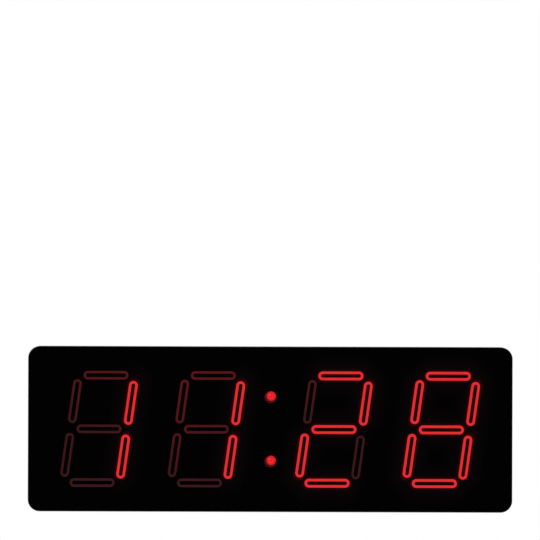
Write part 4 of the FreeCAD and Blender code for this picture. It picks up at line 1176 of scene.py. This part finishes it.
# %% Model the capacitors
CAN_RADIUS, GROOVE_RADIUS, CAN_TOP_RADIUS = mm(4.0, 3.7, 3.3)
FOOT_RADIUS, FOOT_HIGH, CAN_OUT = mm(3.85, 0.3, 7)
GROOVE = (
    (0.4 * MM, CAN_RADIUS),
    (0.8 * MM, CAN_RADIUS),
    (0.25 * MM, GROOVE_RADIUS),
    (0.3 * MM, GROOVE_RADIUS),
    (0.25 * MM, CAN_RADIUS),
)
CAN_RIM = mm(0.2, 3.93), mm(0.1, 3.75), mm(0.05, 3.5)
CAN_TOP = (-0.08 * MM, CAN_TOP_RADIUS)
SCORE_REACH, SCORE_WIDE, SCORE_DEEP, SCORE_UNDER = mm(2.6, 0.25, 0.2, 0.03)

low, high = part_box("capacitors")
cans_middle = centre("capacitors")
cans, scores = [], []
for side in (-CAN_OUT, CAN_OUT):
    x, z = cans_middle.x, cans_middle.z + side
    can = disc(FOOT_RADIUS, low.y + FOOT_HIGH, low.y, x, z, sides=40)
    pick(BACK)
    straight = high.y - low.y - FOOT_HIGH - reach(GROOVE + CAN_RIM)
    grow(BACK, FOOT_RADIUS, *GROOVE, (straight, CAN_RADIUS), *CAN_RIM, CAN_TOP)
    close(can)
    cans.append(can)
    scores.append(cross((high.y - SCORE_DEEP, high.y - SCORE_UNDER), x, z, SCORE_REACH, SCORE_WIDE))
print(f"capacitors {1000 * (high.y - low.y):.1f} mm tall")

# %% Finish the capacitors
SLEEVE_BLUE, STRIPE_BLUE, CAN_METAL = opaque(30, 38, 80), opaque(150, 156, 184), opaque(196, 196, 198)
STRIPE_AT, FOLD_WIDE, TOP_SKIN = mm(3.4, 0.02, 0.5)

sleeve = moulded("sleeve_blue", SLEEVE_BLUE, 0.35, 0.006 * MM)
x, y, z = sleeve.xyz()
off_axis = diagonal(x - cans_middle.x, abs(z - cans_middle.z) - CAN_OUT)
bare = (off_axis < CAN_TOP_RADIUS + FOLD_WIDE) * (y > high.y - TOP_SKIN)
printed = sleeve.mix(x < cans_middle.x - STRIPE_AT, SLEEVE_BLUE, STRIPE_BLUE)
sleeve.paint(bare, printed, CAN_METAL)
sleeve.set(Metallic=bare)
wear("capacitor_cans", joined(*cans, *scores), sleeve, stands_for=["capacitors"])
print(f"{sleeve.material.name}: {len(cans)} capacitors")

# %% [markdown]
# ## Ribbon cable and its plugs
#
# The cable is ten thin wires side by side, one of them red to mark the first. Its skin is ribbed, which
# a wave along the cable's width gives, both to the bump and to painted shade in the seams between the
# wires. Each plug is a block with a strap pressed across it, and the top of each is inset and sunk.

# %% Finish the ribbon
WIRES = 10
SEAM_SHADE_GREY, WIRE_GREY, FIRST_WIRE_RED = opaque(96, 96, 100), opaque(156, 156, 160), opaque(150, 34, 34)

low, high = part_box("ribbon_cable")
ribbon = moulded("ribbon_grey", WIRE_GREY, 0.42, 0.004 * MM)
x, y, z = ribbon.xyz()
wire = (z - low.z) / ((high.z - low.z) / WIRES)
rib = abs(ribbon.math("SINE", wire * math.pi))
# Painted shade: the seams between the wires are darker.
skin = ribbon.mix(ribbon.stretch(rib, 0.0, 0.5), SEAM_SHADE_GREY, WIRE_GREY)
ribbon.paint(wire < 1, skin, FIRST_WIRE_RED)
ribbon.bump(rib, 0.3 * MM)
dress(ribbon, "ribbon_cable")

# %% Model the plugs
PLUG_HALF, PLUG_HIGH, PLUG_WALL, PLUG_SUNK, PLUG_ROUND = mm(4, 6.9, 0.9, 0.5, 0.25)
STRAP_HALF, STRAP_FROM, STRAP_TO, STRAP_SHORT = mm(2.6, 5, 8.5, 0.4)
STRAP_WALL, STRAP_SUNK, STRAP_ROUND = mm(0.6, 0.4, 0.2)


def sunk_block(low, high, wall, depth, rounding):
    """A softened block whose back is sunk inside a wall."""
    piece = block(low, high)
    pick(BACK)
    inset(wall)
    extrude(FRONT, depth)
    close(piece)
    soften(piece, rounding)
    return piece


low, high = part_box("ribbon_headers")
plug_feet = (low.x + PLUG_HALF, CONTROL_BOARD_BACK), (high.x - PLUG_HALF, DISPLAY_BOARD_BACK)
plugs = []
for x, foot in plug_feet:
    corner, far_corner = (x - PLUG_HALF, foot, low.z), (x + PLUG_HALF, foot + PLUG_HIGH, high.z)
    plugs.append(sunk_block(corner, far_corner, PLUG_WALL, PLUG_SUNK, PLUG_ROUND))
    corner = x - STRAP_HALF, foot + STRAP_FROM, low.z + STRAP_SHORT
    far_corner = x + STRAP_HALF, foot + STRAP_TO, high.z - STRAP_SHORT
    plugs.append(sunk_block(corner, far_corner, STRAP_WALL, STRAP_SUNK, STRAP_ROUND))
header_cream = moulded("header_cream", opaque(214, 206, 184), 0.42, 0.01 * MM)
wear("ribbon_plugs", joined(*plugs), header_cream, stands_for=["ribbon_headers"])
print(f"ribbon of {WIRES} wires and {len(plug_feet)} plugs")

# %% [markdown]
# ## Key switches
#
# A key switch is a black block under a pressed steel plate, with a round hole for the plunger and a
# rivet in each corner. It stands on four legs. The block is a box with softened edges, from which the
# hole is carved. The finish turns to steel at the height of the plate.

# %% Model the key switches
SWITCH_HALF, SWITCH_ROUND, HOLE_RADIUS, HOLE_DEPTH = mm(3, 0.25, 1.8, 1.2)
RIVET_AT, RIVET_RADIUS, RIVET_SUNK, RIVET_PROUD = mm(2.3, 0.4, 0.2, 0.15)
LEG_OUT, LEG_AT, LEG_THICK, LEG_WIDTH, LEG_HIGH = mm(3.1, 2.25, 0.3, 0.7, 1.6)
PLATE_THICK, SWITCH_RESIN, PLATE_STEEL = 0.3 * MM, opaque(26, 26, 28), opaque(186, 186, 188)

low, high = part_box("key_switches")
z = centre("key_switches").z
parts = []
for key in KEYS:
    x = centre(f"{key}_plunger").x
    corner = x - SWITCH_HALF, low.y, z - SWITCH_HALF
    body = block(corner, (x + SWITCH_HALF, high.y, z + SWITCH_HALF))
    close(body)
    soften(body, SWITCH_ROUND)
    carve(body, prism((high.y - HOLE_DEPTH, high.y + HOLE_DEPTH), x, z, HOLE_RADIUS))
    corners = [(side_x, side_z) for side_x in (-1, 1) for side_z in (-1, 1)]
    span = high.y - RIVET_SUNK, high.y + RIVET_PROUD
    rivets = [prism(span, x + a * RIVET_AT, z + b * RIVET_AT, RIVET_RADIUS, sides=16) for a, b in corners]
    span = low.y, low.y + LEG_HIGH
    legs = [bar(span, x + a * LEG_OUT, z + b * LEG_AT, LEG_THICK, LEG_WIDTH) for a, b in corners]
    parts += [body, *rivets, *legs]
switch_black = moulded("switch_black", SWITCH_RESIN, 0.45, 0.01 * MM)
steel = switch_black.xyz()[1] > high.y - PLATE_THICK
switch_black.paint(steel, SWITCH_RESIN, PLATE_STEEL)
switch_black.set(Metallic=steel)
wear("switch_bodies", joined(*parts), switch_black, stands_for=["key_switches"])
print(f"{len(KEYS)} key switches")

# %% [markdown]
# The legs of the colon lamps go through the long board and end in small cones of solder.

# %% Solder the colon lamps
LEG_HALF_PITCH, LEG_SQUARE = mm(1.27, 0.5)
SOLDER_RADIUS, SOLDER_FOOT = mm(0.95, 0.1)
SOLDER_CONE = mm(0.2, 0.7), mm(0.3, 0.45), mm(0.4, 0.36)

parts = []
for side in ("upper", "lower"):
    spot, leg_end = centre(f"colon_lamp_{side}"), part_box(f"colon_lamp_{side}")[1].y
    for x in (spot.x - LEG_HALF_PITCH, spot.x + LEG_HALF_PITCH):
        cone_foot = DISPLAY_BOARD_BACK + SOLDER_FOOT
        cone = disc(SOLDER_RADIUS, cone_foot, DISPLAY_BOARD_BACK, x, spot.z, sides=20)
        pick(BACK)
        grow(BACK, SOLDER_RADIUS, *SOLDER_CONE)
        close(cone)
        parts += [cone, bar((DISPLAY_BOARD_FRONT, leg_end), x, spot.z, LEG_SQUARE, LEG_SQUARE)]
wear("colon_lamp_legs", joined(*parts), bright_nickel)
print("four soldered legs")
